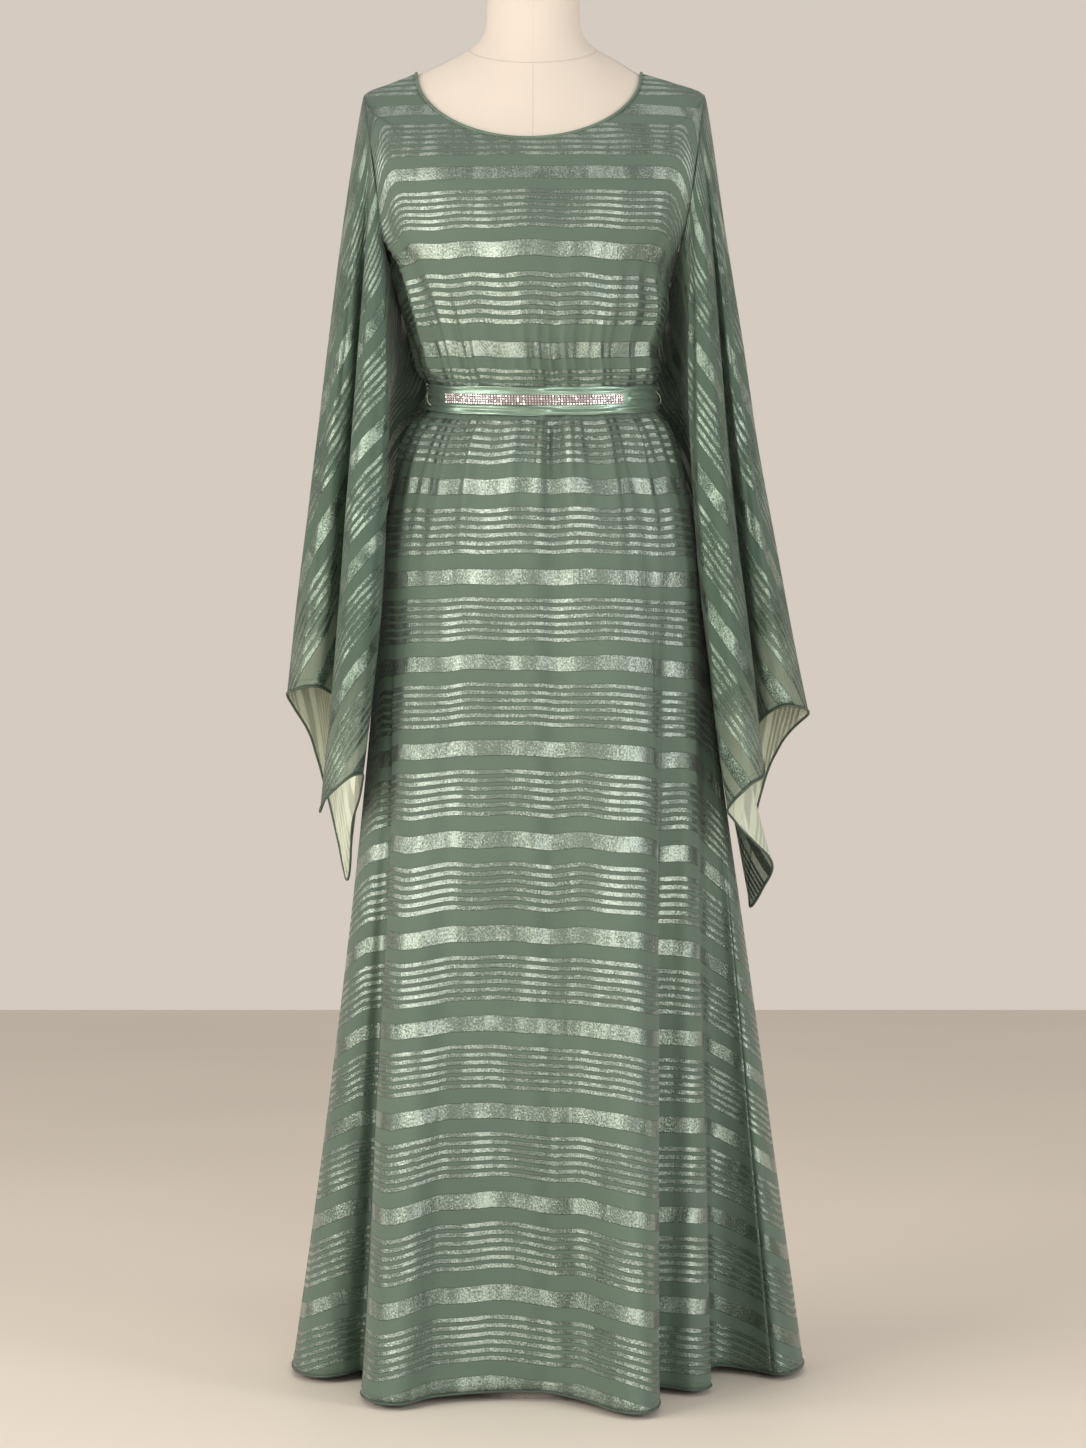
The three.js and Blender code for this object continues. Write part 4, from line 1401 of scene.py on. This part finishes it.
@dataclass
class Sleeve:
    """A wide sleeve that hangs from the armhole in long folds to a slanting hem.

    Attributes:
        side: The wearer's side.
        form: The shape that the body hangs in.
        hem: The hem's rows.
        flat: The cut's width and length, in metres; not used.
        cut_area: The cut's area, in square metres; not used.
        columns: Steps of its grid round the sleeve.
        rows: Rows of its grid, hem to armhole.
        swing: How early on its way down the sleeve swings out.
        front_share: Where on the way round the underarm comes.
        all_share: The whole way round.
        gap_tip: Gap to the body at the shoulder's tip, in millimetres.
        gap_underarm: Gap to the body at the underarm, in millimetres.
        bias: How far the weft is turned from level, in degrees.
        weft_from: Height that the stripes are counted from, in millimetres.
        hem_radius: Half the rolled hem's thickness, in metres.
    """

    side: Side
    form: WornForm
    hem: tuple[tuple[float, ...], ...]
    flat: tuple[float, float]
    cut_area: float
    columns: int = 216
    rows: int = 104
    swing: float = 0.86
    front_share: float = 24.0
    all_share: float = 36.0
    gap_tip: float = 0.4
    gap_underarm: float = 0.3
    bias: float = 60.0
    weft_from: float = 1390.0
    hem_radius: float = 0.0013

    def armhole(self, at: np.ndarray) -> np.ndarray:
        """The armhole's edge.

        Args:
            at: 0 at the shoulder's tip, 24 at the underarm and 36 at the tip again.

        Returns:
            Points in millimetres.
        """
        share = np.where(at <= self.front_share, at / self.front_share,
                         (self.all_share - at) / (self.all_share - self.front_share))
        level = TIP + (UNDERARM - TIP) * share
        s = self.form.section(level)
        reach = np.clip(s["edge"], 1, 90)
        turn = self.side.value * reach
        front = self.form.oval(s, turn, reach)
        back = self.form.oval(s, 180 - turn, reach)
        points = np.where((at <= self.front_share)[..., None], front, back)
        points[..., 0] += self.side.value * (self.gap_tip + (self.gap_underarm - self.gap_tip) * share)
        return points

    def surface(self, at: np.ndarray, level: np.ndarray) -> np.ndarray:
        """The sleeve's outside.

        Args:
            at: The place round the sleeve, from 0 to 36.
            level: 0 at the armhole and 1 at the hem.

        Returns:
            Points in millimetres.
        """
        table = np.array(self.hem, float)
        turns = [np.array([turn * self.all_share] + [0] * 7) for turn in (-1, 0, 1)]
        rows = np.concatenate([table + turn for turn in turns])
        tucks = np.array(TUCK_ROWS, float)
        tuck = smooth_rows(tucks[:, 0], tucks, level)
        start = self.armhole(np.mod(at, self.all_share))
        end = smooth_rows(rows[:, 0], rows, at)
        bow, swing = 4 * level * (1 - level), level**self.swing
        flat = [start[..., i] + (end[..., i + 1] - start[..., i]) * swing + bow * end[..., i + 4]
                + tuck[..., i + 1] * end[..., i + 6] for i in (0, 1)]
        return np.stack([*flat, start[..., 2] + (end[..., 3] - start[..., 2]) * level], axis=-1)

    def build(self, finishes: Finishes) -> list[bpy.types.Object]:
        """Builds the sleeve with its rolled hem.

        Args:
            finishes: The scene's materials.

        Returns:
            The sleeve first, then the pieces on it.
        """
        at, level = np.meshgrid(np.arange(self.columns) * self.all_share / self.columns,
                                np.linspace(1, 0, self.rows))
        points = self.surface(at, level)
        normals = grid_normals(points, True) * -self.side.value
        fine = ripple(at / 2.6, level * 1.6, 31 + self.side.value) * 1.1
        fine = fine + ripple(at / 1.3, level * 2.4, 41) * 0.5
        fine = fine * ease(0.03, 0.3, level) * (1 - 0.5 * ease(0.8, 1.0, level))
        points = points + normals * fine[..., None]
        around = running_length(np.concatenate([points, points[:, :1]], axis=1), 1)
        down = running_length(points[::-1], 0)[::-1] + (self.weft_from - points[-1, :, 2])[None, :]
        down = np.concatenate([down, down[:, :1]], axis=1)
        turn = math.radians(self.bias)
        weft = (down * math.cos(turn) + around * math.sin(turn)) * MM
        warp = (around * math.cos(turn) - down * math.sin(turn)) * MM
        from_hem = running_length(points, 0) * MM
        name = f"sleeve_{self.side.name.lower()}"
        outward = -1 if self.side is Side.LEFT else 1
        shell = ClothShell(f"{name}_cloth", points * MM, np.stack([warp, weft], -1), from_hem, closed=True,
                           outward=outward, thick=0.0006)
        cloth = shell.build(finishes.sleeve_cloth, finishes.sleeve_inside_painted_light)
        edge = RolledEdge(f"{name}_hem_roll", points[0] * MM, self.hem_radius, True, finishes.edge).build()
        for piece in (cloth, edge):
            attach(piece, BODY)
        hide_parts(name)
        log.info("%s: %d by %d points", name, self.rows, self.columns)
        return [cloth, edge]


@dataclass
class NeckBinding:
    """The narrow binding round the neck opening."""

    form: WornForm
    width: float = 3.6

    def build(self, finishes: Finishes) -> bpy.types.Object:
        """Sweeps the binding round the neckline.

        Args:
            finishes: The scene's materials.

        Returns:
            The binding.
        """
        angle = np.linspace(-180, 180, 240, endpoint=False)
        top = self.form.plain_point(angle, np.full(angle.shape, float(NECKLINE)))
        below = self.form.plain_point(angle, np.full(angle.shape, NECKLINE - 0.2))
        down = below - top
        length = np.linalg.norm(down, axis=-1, keepdims=True)
        path = (top + down / length * self.width * 0.42) * MM
        radius = self.width * 0.5 * MM
        binding = RolledEdge("neck_binding_cloth", path, radius, True, finishes.binding).build()
        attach(binding, BODY)
        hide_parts("neck_binding")
        log.info("neck binding: %d faces", len(binding.data.polygons))
        return binding


@dataclass
class Belt:
    """The satin sash with its lengthwise creases, its stone strip and its thread loops.

    Attributes:
        form: The shape that the body hangs in.
        clear: Gap between the belt and the gathered waist, in millimetres.
        thick: The folded sash's thickness, in millimetres.
        strip_from: Where the stones start, in degrees.
        strip_to: Where they end.
        stone: A stone's width, in millimetres.
        stone_gap: Gap between two stones, in millimetres.
        stone_rows: Number of rows.
        stone_row_step: From one row to the next, as a share of half the belt's height.
        stone_lift: How far the rows' middle is above the belt's, as the same share.
        stone_height: A stone's height, in metres.
        loops: Name and angle of each thread loop.
        cut_length: Length of the belt's cloth over which its own places run, in metres.
        half_height: Half the belt's height, in metres.
    """

    form: WornForm
    clear: float = 2.2
    thick: float = 2.4
    strip_from: float = -55.0
    strip_to: float = 42.0
    stone: float = 2.25
    stone_gap: float = 0.8
    stone_rows: int = 4
    stone_row_step: float = 0.205
    stone_lift: float = 0.12
    stone_height: float = 0.0011
    loops: tuple[tuple[str, float], ...] = (("belt_loop_right", -76.0), ("belt_loop_left", 80.0))
    cut_length: float = 0.72
    half_height: float = 0.0145

    def point(self, angle: np.ndarray, rise: np.ndarray, out: np.ndarray) -> np.ndarray:
        """A point of the belt.

        Args:
            angle: Degrees from the front's middle towards the wearer's left.
            rise: -1 at the belt's lower edge and 1 at its upper.
            out: How far out from the waist, in millimetres.

        Returns:
            Points in millimetres.
        """
        middle = self._ring(BELT_MIDDLE, angle, out)
        low, high = self._ring(BELT_LOW, angle, out), self._ring(BELT_HIGH, angle, out)
        end = np.where((rise < 0)[..., None], low, high)
        return middle + (end - middle) * np.abs(rise)[..., None]

    def _ring(self, level: int, angle: np.ndarray, out: np.ndarray) -> np.ndarray:
        """A ring round the waist.

        Args:
            level: The section's row.
            angle: Degrees from the front's middle.
            out: How far out from that section, in millimetres.

        Returns:
            Points in millimetres.
        """
        section = self.form.section(np.full(angle.shape, float(level)))
        return pushed_out(self.form.oval(section, angle, np.full(angle.shape, 90.0)), angle, out)

    def creases(self, angle: np.ndarray, rise: np.ndarray) -> np.ndarray:
        """How far the sash's lengthwise creases stand out.

        Args:
            angle: Degrees from the front's middle.
            rise: -1 at the belt's lower edge and 1 at its upper.

        Returns:
            Millimetres, with nearly none under the stones.
        """
        lean = 0.35 * np.sin(np.radians(2 * angle + 30)) + 0.2 * np.sin(np.radians(5 * angle))
        pleats = 0.8 * np.sin(2 * math.pi * (1.5 * rise + lean))
        pleats = pleats + 0.4 * np.sin(2 * math.pi * (2.7 * rise - 1.5 * lean))
        side = ease(62, 86, np.abs(np.mod(angle + 180, 360) - 180))
        along = (angle > self.strip_from - 6) & (angle < self.strip_to + 6)
        under_stones = along & (np.abs(rise - self.stone_lift) < 0.5)
        return np.where(under_stones, 0.1, pleats * (0.9 + 0.8 * side)) + 0.9 * (1 - rise**2)

    def build(self, finishes: Finishes) -> list[bpy.types.Object]:
        """Builds the belt and what is on it.

        Args:
            finishes: The scene's materials.

        Returns:
            The belt, its stones and its loops.
        """
        angle, rise = np.meshgrid(np.linspace(-180, 180, 300, endpoint=False), np.linspace(-1, 1, 25))
        out = self.clear + self.thick - 0.9 + self.creases(angle, rise)
        pinch = 1 - 0.22 * np.exp(-(((angle - 84) / 9) ** 2)) - 0.1 * np.exp(-(((angle + 86) / 7) ** 2))
        tall = 1 + (0.12 + 0.08 * (rise > 0)) * np.maximum(0, np.cos(np.radians(angle)))
        points = self.point(angle, rise * pinch * tall, out)
        uv = np.stack([np.concatenate([angle, angle[:, :1] + 360], 1) / 360 * self.cut_length,
                       np.concatenate([rise, rise[:, :1]], 1) * self.half_height], -1)
        far = np.full(angle.shape, 1.0)
        shell = ClothShell("belt_cloth", points * MM, uv, far, closed=True, thick=0.0011)
        belt = shell.build(finishes.belt, finishes.belt)
        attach(belt, BODY)
        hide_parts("belt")
        pieces = [belt, *self._strip(finishes), *self._loops(finishes)]
        log.info("belt: %d pieces", len(pieces))
        return pieces

    def _strip(self, finishes: Finishes) -> list[bpy.types.Object]:
        """Makes the stones in their rows, and the band that they are set on.

        Args:
            finishes: The scene's materials.

        Returns:
            The band and the stones.
        """
        middle = np.linspace(self.strip_from, self.strip_to, 120)
        lift = self.clear + self.thick + 0.35
        angle, rise = np.meshgrid(middle, np.array([-0.42, 0.42]) + self.stone_lift)
        band = self.point(angle, rise, np.full(angle.shape, lift + 0.7))
        uv = np.stack([angle / 500, rise / 100], -1)
        far = np.full(angle.shape, 1.0)
        shell = ClothShell("stone_setting_band", band * MM, uv, far, thick=0.0007)
        setting = shell.build(finishes.setting, finishes.setting)
        line = self.point(middle, np.full(middle.shape, self.stone_lift), np.full(middle.shape, lift + 0.8))
        along = running_length(line, 0)
        count = int(along[-1] / (self.stone + self.stone_gap))
        places = np.interp(np.linspace(self.stone / 2, along[-1] - self.stone / 2, count), along, middle)
        row_numbers = np.arange(self.stone_rows) - (self.stone_rows - 1) / 2
        rises = row_numbers * self.stone_row_step + self.stone_lift
        a, r = np.meshgrid(places, rises)
        spots = self.point(a, r, np.full(a.shape, lift + 0.8)).reshape(-1, 3)
        turns = np.stack([np.full(a.shape, math.pi / 2), np.zeros(a.shape), np.radians(a)], -1).reshape(-1, 3)
        stones = self._stones(spots * MM, turns, finishes)
        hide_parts("belt_stone_strip")
        for piece in (setting, stones):
            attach(piece, BODY)
        return [setting, stones]

    def _stones(self, spots: np.ndarray, turns: np.ndarray, finishes: Finishes) -> bpy.types.Object:
        """Sets square cut stones on a cloud of points.

        Args:
            spots: Where they sit, in metres.
            turns: How each is turned to face outwards, in radians.
            finishes: The scene's materials.

        Returns:
            The stones, as one mesh.
        """
        cloud = bpy.data.meshes.new("stone_places")
        cloud.from_pydata(spots.tolist(), [], [])
        turned = cloud.attributes.new("turned", "FLOAT_VECTOR", "POINT")
        turned.data.foreach_set("vector", turns.ravel())
        tree = GeometryTree("stone_tree")
        radius = tree.size("Stone Radius", self.stone * 0.707 * MM)
        height = tree.size("Stone Height", self.stone_height)
        cut = tree.node("GeometryNodeMeshCone")
        cut.inputs["Vertices"].default_value = 4
        shrink = tree.node("ShaderNodeMath", operation="MULTIPLY")
        shrink.inputs[1].default_value = 0.55
        tree.link(radius, shrink.inputs[0])
        tree.link(shrink.outputs[0], cut.inputs["Radius Top"])
        tree.link(radius, cut.inputs["Radius Bottom"])
        tree.link(height, cut.inputs["Depth"])
        read = tree.node("GeometryNodeInputNamedAttribute", data_type="FLOAT_VECTOR")
        read.inputs["Name"].default_value = "turned"
        tilt = tree.node("FunctionNodeRandomValue", data_type="FLOAT_VECTOR")
        tilt.inputs["Min"].default_value = (-0.14, -0.14, 0.74)
        tilt.inputs["Max"].default_value = (0.14, 0.14, 0.83)
        tilt.inputs["Seed"].default_value = 7
        put = tree.node("GeometryNodeInstanceOnPoints")
        tree.link(tree.entry.outputs["Geometry"], put.inputs["Points"])
        tree.link(cut.outputs["Mesh"], put.inputs["Instance"])
        tree.link(read.outputs["Attribute"], put.inputs["Rotation"])
        spin = tree.node("GeometryNodeRotateInstances")
        tree.link(put.outputs["Instances"], spin.inputs["Instances"])
        tree.link(tilt.outputs[0], spin.inputs["Rotation"])
        tree.finish(spin.outputs["Instances"], finishes.stones, False)
        sizes = {"Stone Radius": self.stone * 0.707 * MM, "Stone Height": self.stone_height}
        return tree.apply(place_loose(cloud, "stone_places"), "belt_stones", sizes)

    def _loops(self, finishes: Finishes) -> list[bpy.types.Object]:
        """Makes the thread loop at each side that keeps the belt in its place.

        Args:
            finishes: The scene's materials.

        Returns:
            The loops.
        """
        pieces = []
        for name, at in self.loops:
            t = np.linspace(0, 1, 24)
            angle = at + 5 * (t - 0.5)
            out = self.clear + 1.0 + 4.2 * np.sin(math.pi * t) ** 0.6
            path = self.point(angle, 0.5 - 1.1 * t, out)
            loop = RolledEdge(name, path * MM, 0.0006, False, finishes.pale_thread).build()
            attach(loop, BODY)
            pieces.append(loop)
        return pieces


@dataclass
class DressForm:
    """The limbless form under the garment, with its neck and cap, and its stand.

    Attributes:
        form: The shape that the garment hangs in.
        steps: Steps of its grid all round.
        bottom: Height of its lower end, in millimetres.
        inset: How much further inside the cloth it stays than its solid, in millimetres.
        cap_base: Height of the cap's underside, in millimetres.
        cap_middle: The cap's middle, in millimetres.
        cap_profile: Radius and height of each ring of the cap, in millimetres.
        bottom_rings: Share of the way down and pull inwards of each ring of the lower end.
    """

    form: WornForm
    steps: int = 96
    bottom: float = 800.0
    inset: float = 0.25
    cap_base: float = 1528.3
    cap_middle: tuple[float, float] = (-5.0, 2.5)
    cap_profile: tuple[tuple[float, float], ...] = (
        (43.5, 0.0), (44.6, 0.7), (45.0, 1.8), (45.0, 3.8), (44.2, 5.2), (42.5, 5.9), (30.0, 6.0))
    bottom_rings: tuple[tuple[float, float], ...] = ((1.0, 12.0), (0.97, 6.0), (0.7, 3.4), (0.35, 1.6))

    def _section(self, level: np.ndarray) -> dict[str, np.ndarray]:
        """The form's sizes, narrower than the panels along the armholes.

        Args:
            level: Row numbers up from the hips.

        Returns:
            Each size under its column's name.
        """
        s = self.form.section(level)
        low, high = self.form.section(np.array(float(UNDERARM))), self.form.section(np.array(float(TIP)))
        share = np.clip((level - UNDERARM) / (TIP - UNDERARM), 0, 1) ** 1.8
        inside = (level > UNDERARM) & (level < TIP)
        for key in ("right", "left"):
            s[key] = np.where(inside, low[key] + (high[key] - low[key]) * share, s[key])
        return s

    def build(self, finishes: Finishes) -> list[bpy.types.Object]:
        """Builds the form and dresses the stand.

        Args:
            finishes: The scene's materials.

        Returns:
            The form and its cap.
        """
        angles = np.linspace(-180, 180, self.steps, endpoint=False)
        levels = np.linspace(0, NECKLINE, 84)
        angle, level = np.meshgrid(angles, levels)
        s = self._section(level)
        trunk = self.form.oval(s, angle, np.full(angle.shape, 90.0))
        trunk = trunk - grid_normals(trunk, True) * (s["clear"] + self.inset)[..., None]
        rows = np.array(NECK_ROWS, float)
        places = np.arange(len(rows), dtype=float)
        read = smooth_rows(places, rows, np.linspace(0, len(rows) - 1, 34))
        neck_angle = np.broadcast_to(angles, (len(read), self.steps))
        sizes = {name: np.broadcast_to(read[:, i:i + 1], neck_angle.shape)
                 for i, name in enumerate(NECK_COLUMNS)}
        neck = self.form.oval(sizes, neck_angle, np.full(neck_angle.shape, 90.0))
        first = trunk[0]
        inwards = first / np.linalg.norm(first[:, :2], axis=1, keepdims=True)
        rings = []
        for drop, pull in self.bottom_rings:
            ring = first.copy()
            ring[:, :2] -= inwards[:, :2] * pull
            ring[:, 2] = first[:, 2] + (self.bottom - first[:, 2]) * drop
            rings.append(ring)
        points = np.concatenate([np.array(rings), trunk, neck])
        torso = self._lofted("form_torso_cover", points, finishes.cover)
        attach(torso, BODY)
        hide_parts("form_torso")
        cap = self._cap(finishes)
        # The stand gets the dark finish that is painted shade.
        for node in ("stand_pole", "stand_foot"):
            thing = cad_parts[node]
            thing.data.materials.clear()
            thing.data.materials.append(finishes.metal)
        log.info("form: %d rings", len(points))
        return [torso, cap]

    def _lofted(self, name: str, points: np.ndarray, material: bpy.types.Material) -> bpy.types.Object:
        """A closed solid through rings, with a fan over each end.

        Args:
            name: The piece's name.
            points: Rings by columns by 3, in millimetres, from the bottom up.
            material: Its finish.

        Returns:
            The object.
        """
        rows, columns = points.shape[:2]
        vertices = points.reshape(-1, 3).tolist() + [points[0].mean(0).tolist(), points[-1].mean(0).tolist()]
        faces = []
        for r in range(rows - 1):
            for c in range(columns):
                f = (c + 1) % columns
                faces.append((r * columns + c, r * columns + f, (r + 1) * columns + f, (r + 1) * columns + c))
        base, top = rows * columns, rows * columns + 1
        last = (rows - 1) * columns
        for c in range(columns):
            f = (c + 1) % columns
            faces.append((base, f, c))
            faces.append((top, last + c, last + f))
        mesh = bpy.data.meshes.new(name)
        mesh.from_pydata([[v * MM for v in p] for p in vertices], [], faces)
        mesh.polygons.foreach_set("use_smooth", np.ones(len(faces), bool))
        mesh.materials.append(material)
        mesh.validate()
        mesh.update()
        return place_loose(mesh, name)

    def _cap(self, finishes: Finishes) -> bpy.types.Object:
        """Makes the round cap on the neck, with a softened rim.

        Args:
            finishes: The scene's materials.

        Returns:
            The cap.
        """
        turn = np.linspace(0, 2 * math.pi, 64, endpoint=False)
        x, y = self.cap_middle
        rings = [np.stack([x + radius * np.cos(turn), y + radius * np.sin(turn),
                           np.full(turn.shape, self.cap_base + height)], -1)
                 for radius, height in self.cap_profile]
        cap = self._lofted("form_cap_cover", np.array(rings), finishes.cover)
        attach(cap, BODY)
        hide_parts("form_neck_cap")
        return cap


@dataclass
class Studio:
    """A plain pale floor, the room's soft light and the camera.

    Attributes:
        camera_height: The camera's height, in metres.
        camera_away: How far it stands in front of the garment.
        camera_across: How far it stands to the wearer's left.
        lens: Its focal length, in millimetres.
        floor_end: How far the floor reaches behind the garment.
        floor_wide: How far the floor reaches to the other sides.
        floor_colour: The floor's colour.
        room_colour: The pale light behind the garment.
        light_colour: The light from the other sides.
        lamps: Name, place, what it faces, size, power and colour of each lamp.
    """

    camera_height: float = 0.71
    camera_away: float = 3.8
    camera_across: float = 0.0054
    lens: float = 87.5
    floor_end: float = 4.94
    floor_wide: float = 30.0
    floor_colour: tuple[float, float, float] = (0.84, 0.75, 0.65)
    room_colour: tuple[float, float, float] = (0.665, 0.597, 0.527)
    light_colour: tuple[float, float, float] = (0.44, 0.425, 0.405)
    lamps: tuple[tuple, ...] = (
        ("key", (-2.7, -3.0, 1.75), (0, 0, 0.25), 1.5, 70.0, (1.0, 0.965, 0.91)),
        ("front", (0.7, -4.3, 1.2), (0, 0, 0.15), 1.3, 42.0, (1.0, 0.98, 0.95)),
        ("fill", (3.0, -2.4, 1.3), (0.1, 0, 0.0), 1.3, 52.0, (0.97, 0.98, 1.0)),
        ("side", (-3.2, -1.3, 1.3), (-0.2, 0, 0.0), 1.3, 34.0, (1.0, 0.97, 0.93)),
        ("top", (-0.4, -0.6, 3.6), (0, 0, 1.0), 2.0, 9.0, (1.0, 0.98, 0.95)),
    )

    def build(self) -> None:
        """Builds the floor, the lights and the camera."""
        self._floor()
        for lamp in self.lamps:
            self._lamp(*lamp)
        self._room()
        data = bpy.data.cameras.new("camera")
        data.lens = self.lens
        data.sensor_fit = "VERTICAL"
        data.sensor_height = 36.0
        camera = bpy.data.objects.new("camera", data)
        camera.location = (self.camera_across, -self.camera_away, self.camera_height)
        camera.rotation_euler = (math.pi / 2, 0, 0)
        bpy.context.scene.collection.objects.link(camera)
        bpy.context.scene.camera = camera
        bpy.context.scene.view_settings.view_transform = "Standard"

    def _room(self) -> None:
        """The room's soft light, pale behind the part and dimmer from the other sides."""
        world = bpy.data.worlds.new("soft_room")
        world.use_nodes = True
        tree = world.node_tree
        facing = tree.nodes.new("ShaderNodeTexCoord")
        split = tree.nodes.new("ShaderNodeSeparateXYZ")
        share = tree.nodes.new("ShaderNodeMapRange")
        share.interpolation_type = "SMOOTHSTEP"
        share.inputs["From Min"].default_value = 0.2
        share.inputs["From Max"].default_value = 0.8
        blend = tree.nodes.new("ShaderNodeMix")
        blend.data_type = "RGBA"
        blend.inputs[6].default_value = tint(self.light_colour)
        blend.inputs[7].default_value = tint(self.room_colour)
        tree.links.new(facing.outputs["Generated"], split.inputs[0])
        tree.links.new(split.outputs["Y"], share.inputs["Value"])
        tree.links.new(share.outputs["Result"], blend.inputs[0])
        tree.links.new(blend.outputs[2], tree.nodes["Background"].inputs["Color"])
        bpy.context.scene.world = world

    def _floor(self) -> None:
        """A plain floor that ends some way behind the garment."""
        mesh = bpy.data.meshes.new("floor")
        wide = self.floor_wide
        corners = [(-wide, -wide, 0), (wide, -wide, 0), (wide, self.floor_end, 0), (-wide, self.floor_end, 0)]
        mesh.from_pydata(corners, [], [(0, 1, 2, 3)])
        n = Nodes("pale_floor")
        place = n.add("ShaderNodeTexCoord").outputs["Object"]
        broad = n.noise(place, 0.8, 2.0)
        colour = n.mix(n.step(broad, 0.3, 0.7), tint(self.floor_colour), tint(self.floor_colour, 1.05))
        n.feed(n.shader.inputs["Base Color"], colour)
        n.shader.inputs["Roughness"].default_value = 0.55
        mesh.materials.append(n.material)
        floor = place_loose(mesh, "floor")

    def _lamp(self, name: str, place: tuple[float, float, float], target: tuple[float, float, float],
              size: float, power: float, colour: tuple[float, float, float]) -> None:
        """A soft square lamp that faces a point.

        Args:
            name: Its name.
            place: Where it stands, in metres.
            target: The point that it faces.
            size: Its side, in metres.
            power: Its power, in watts.
            colour: Its light.
        """
        data = bpy.data.lights.new(name, "AREA")
        data.shape = "SQUARE"
        data.size = size
        data.energy = power
        data.color = colour
        lamp = bpy.data.objects.new(name, data)
        lamp.location = place
        away = np.array(place) - np.array(target)
        flat = math.hypot(away[0], away[1])
        lamp.rotation_euler = (math.atan2(flat, away[2]), 0, math.atan2(away[0], -away[1]))
        bpy.context.scene.collection.objects.link(lamp)


def main() -> None:
    """Builds every piece in order."""
    logging.basicConfig(level=logging.INFO, format="%(name)s: %(message)s")
    Studio().build()
    finishes = Finishes()
    form = WornForm()
    DressForm(form).build(finishes)
    GarmentPanel(Panel.FRONT, form, 216, 108, 96, (1.15, 1.50), 0.85).build(finishes)
    GarmentPanel(Panel.BACK, form, 168, 84, 80, (1.15, 1.50), 0.85).build(finishes)
    Sleeve(Side.RIGHT, form, RIGHT_HEM, (0.50, 0.90), 0.30).build(finishes)
    Sleeve(Side.LEFT, form, LEFT_HEM, (0.50, 0.92), 0.30).build(finishes)
    NeckBinding(form).build(finishes)
    Belt(form).build(finishes)


if __name__ == "__main__":
    main()
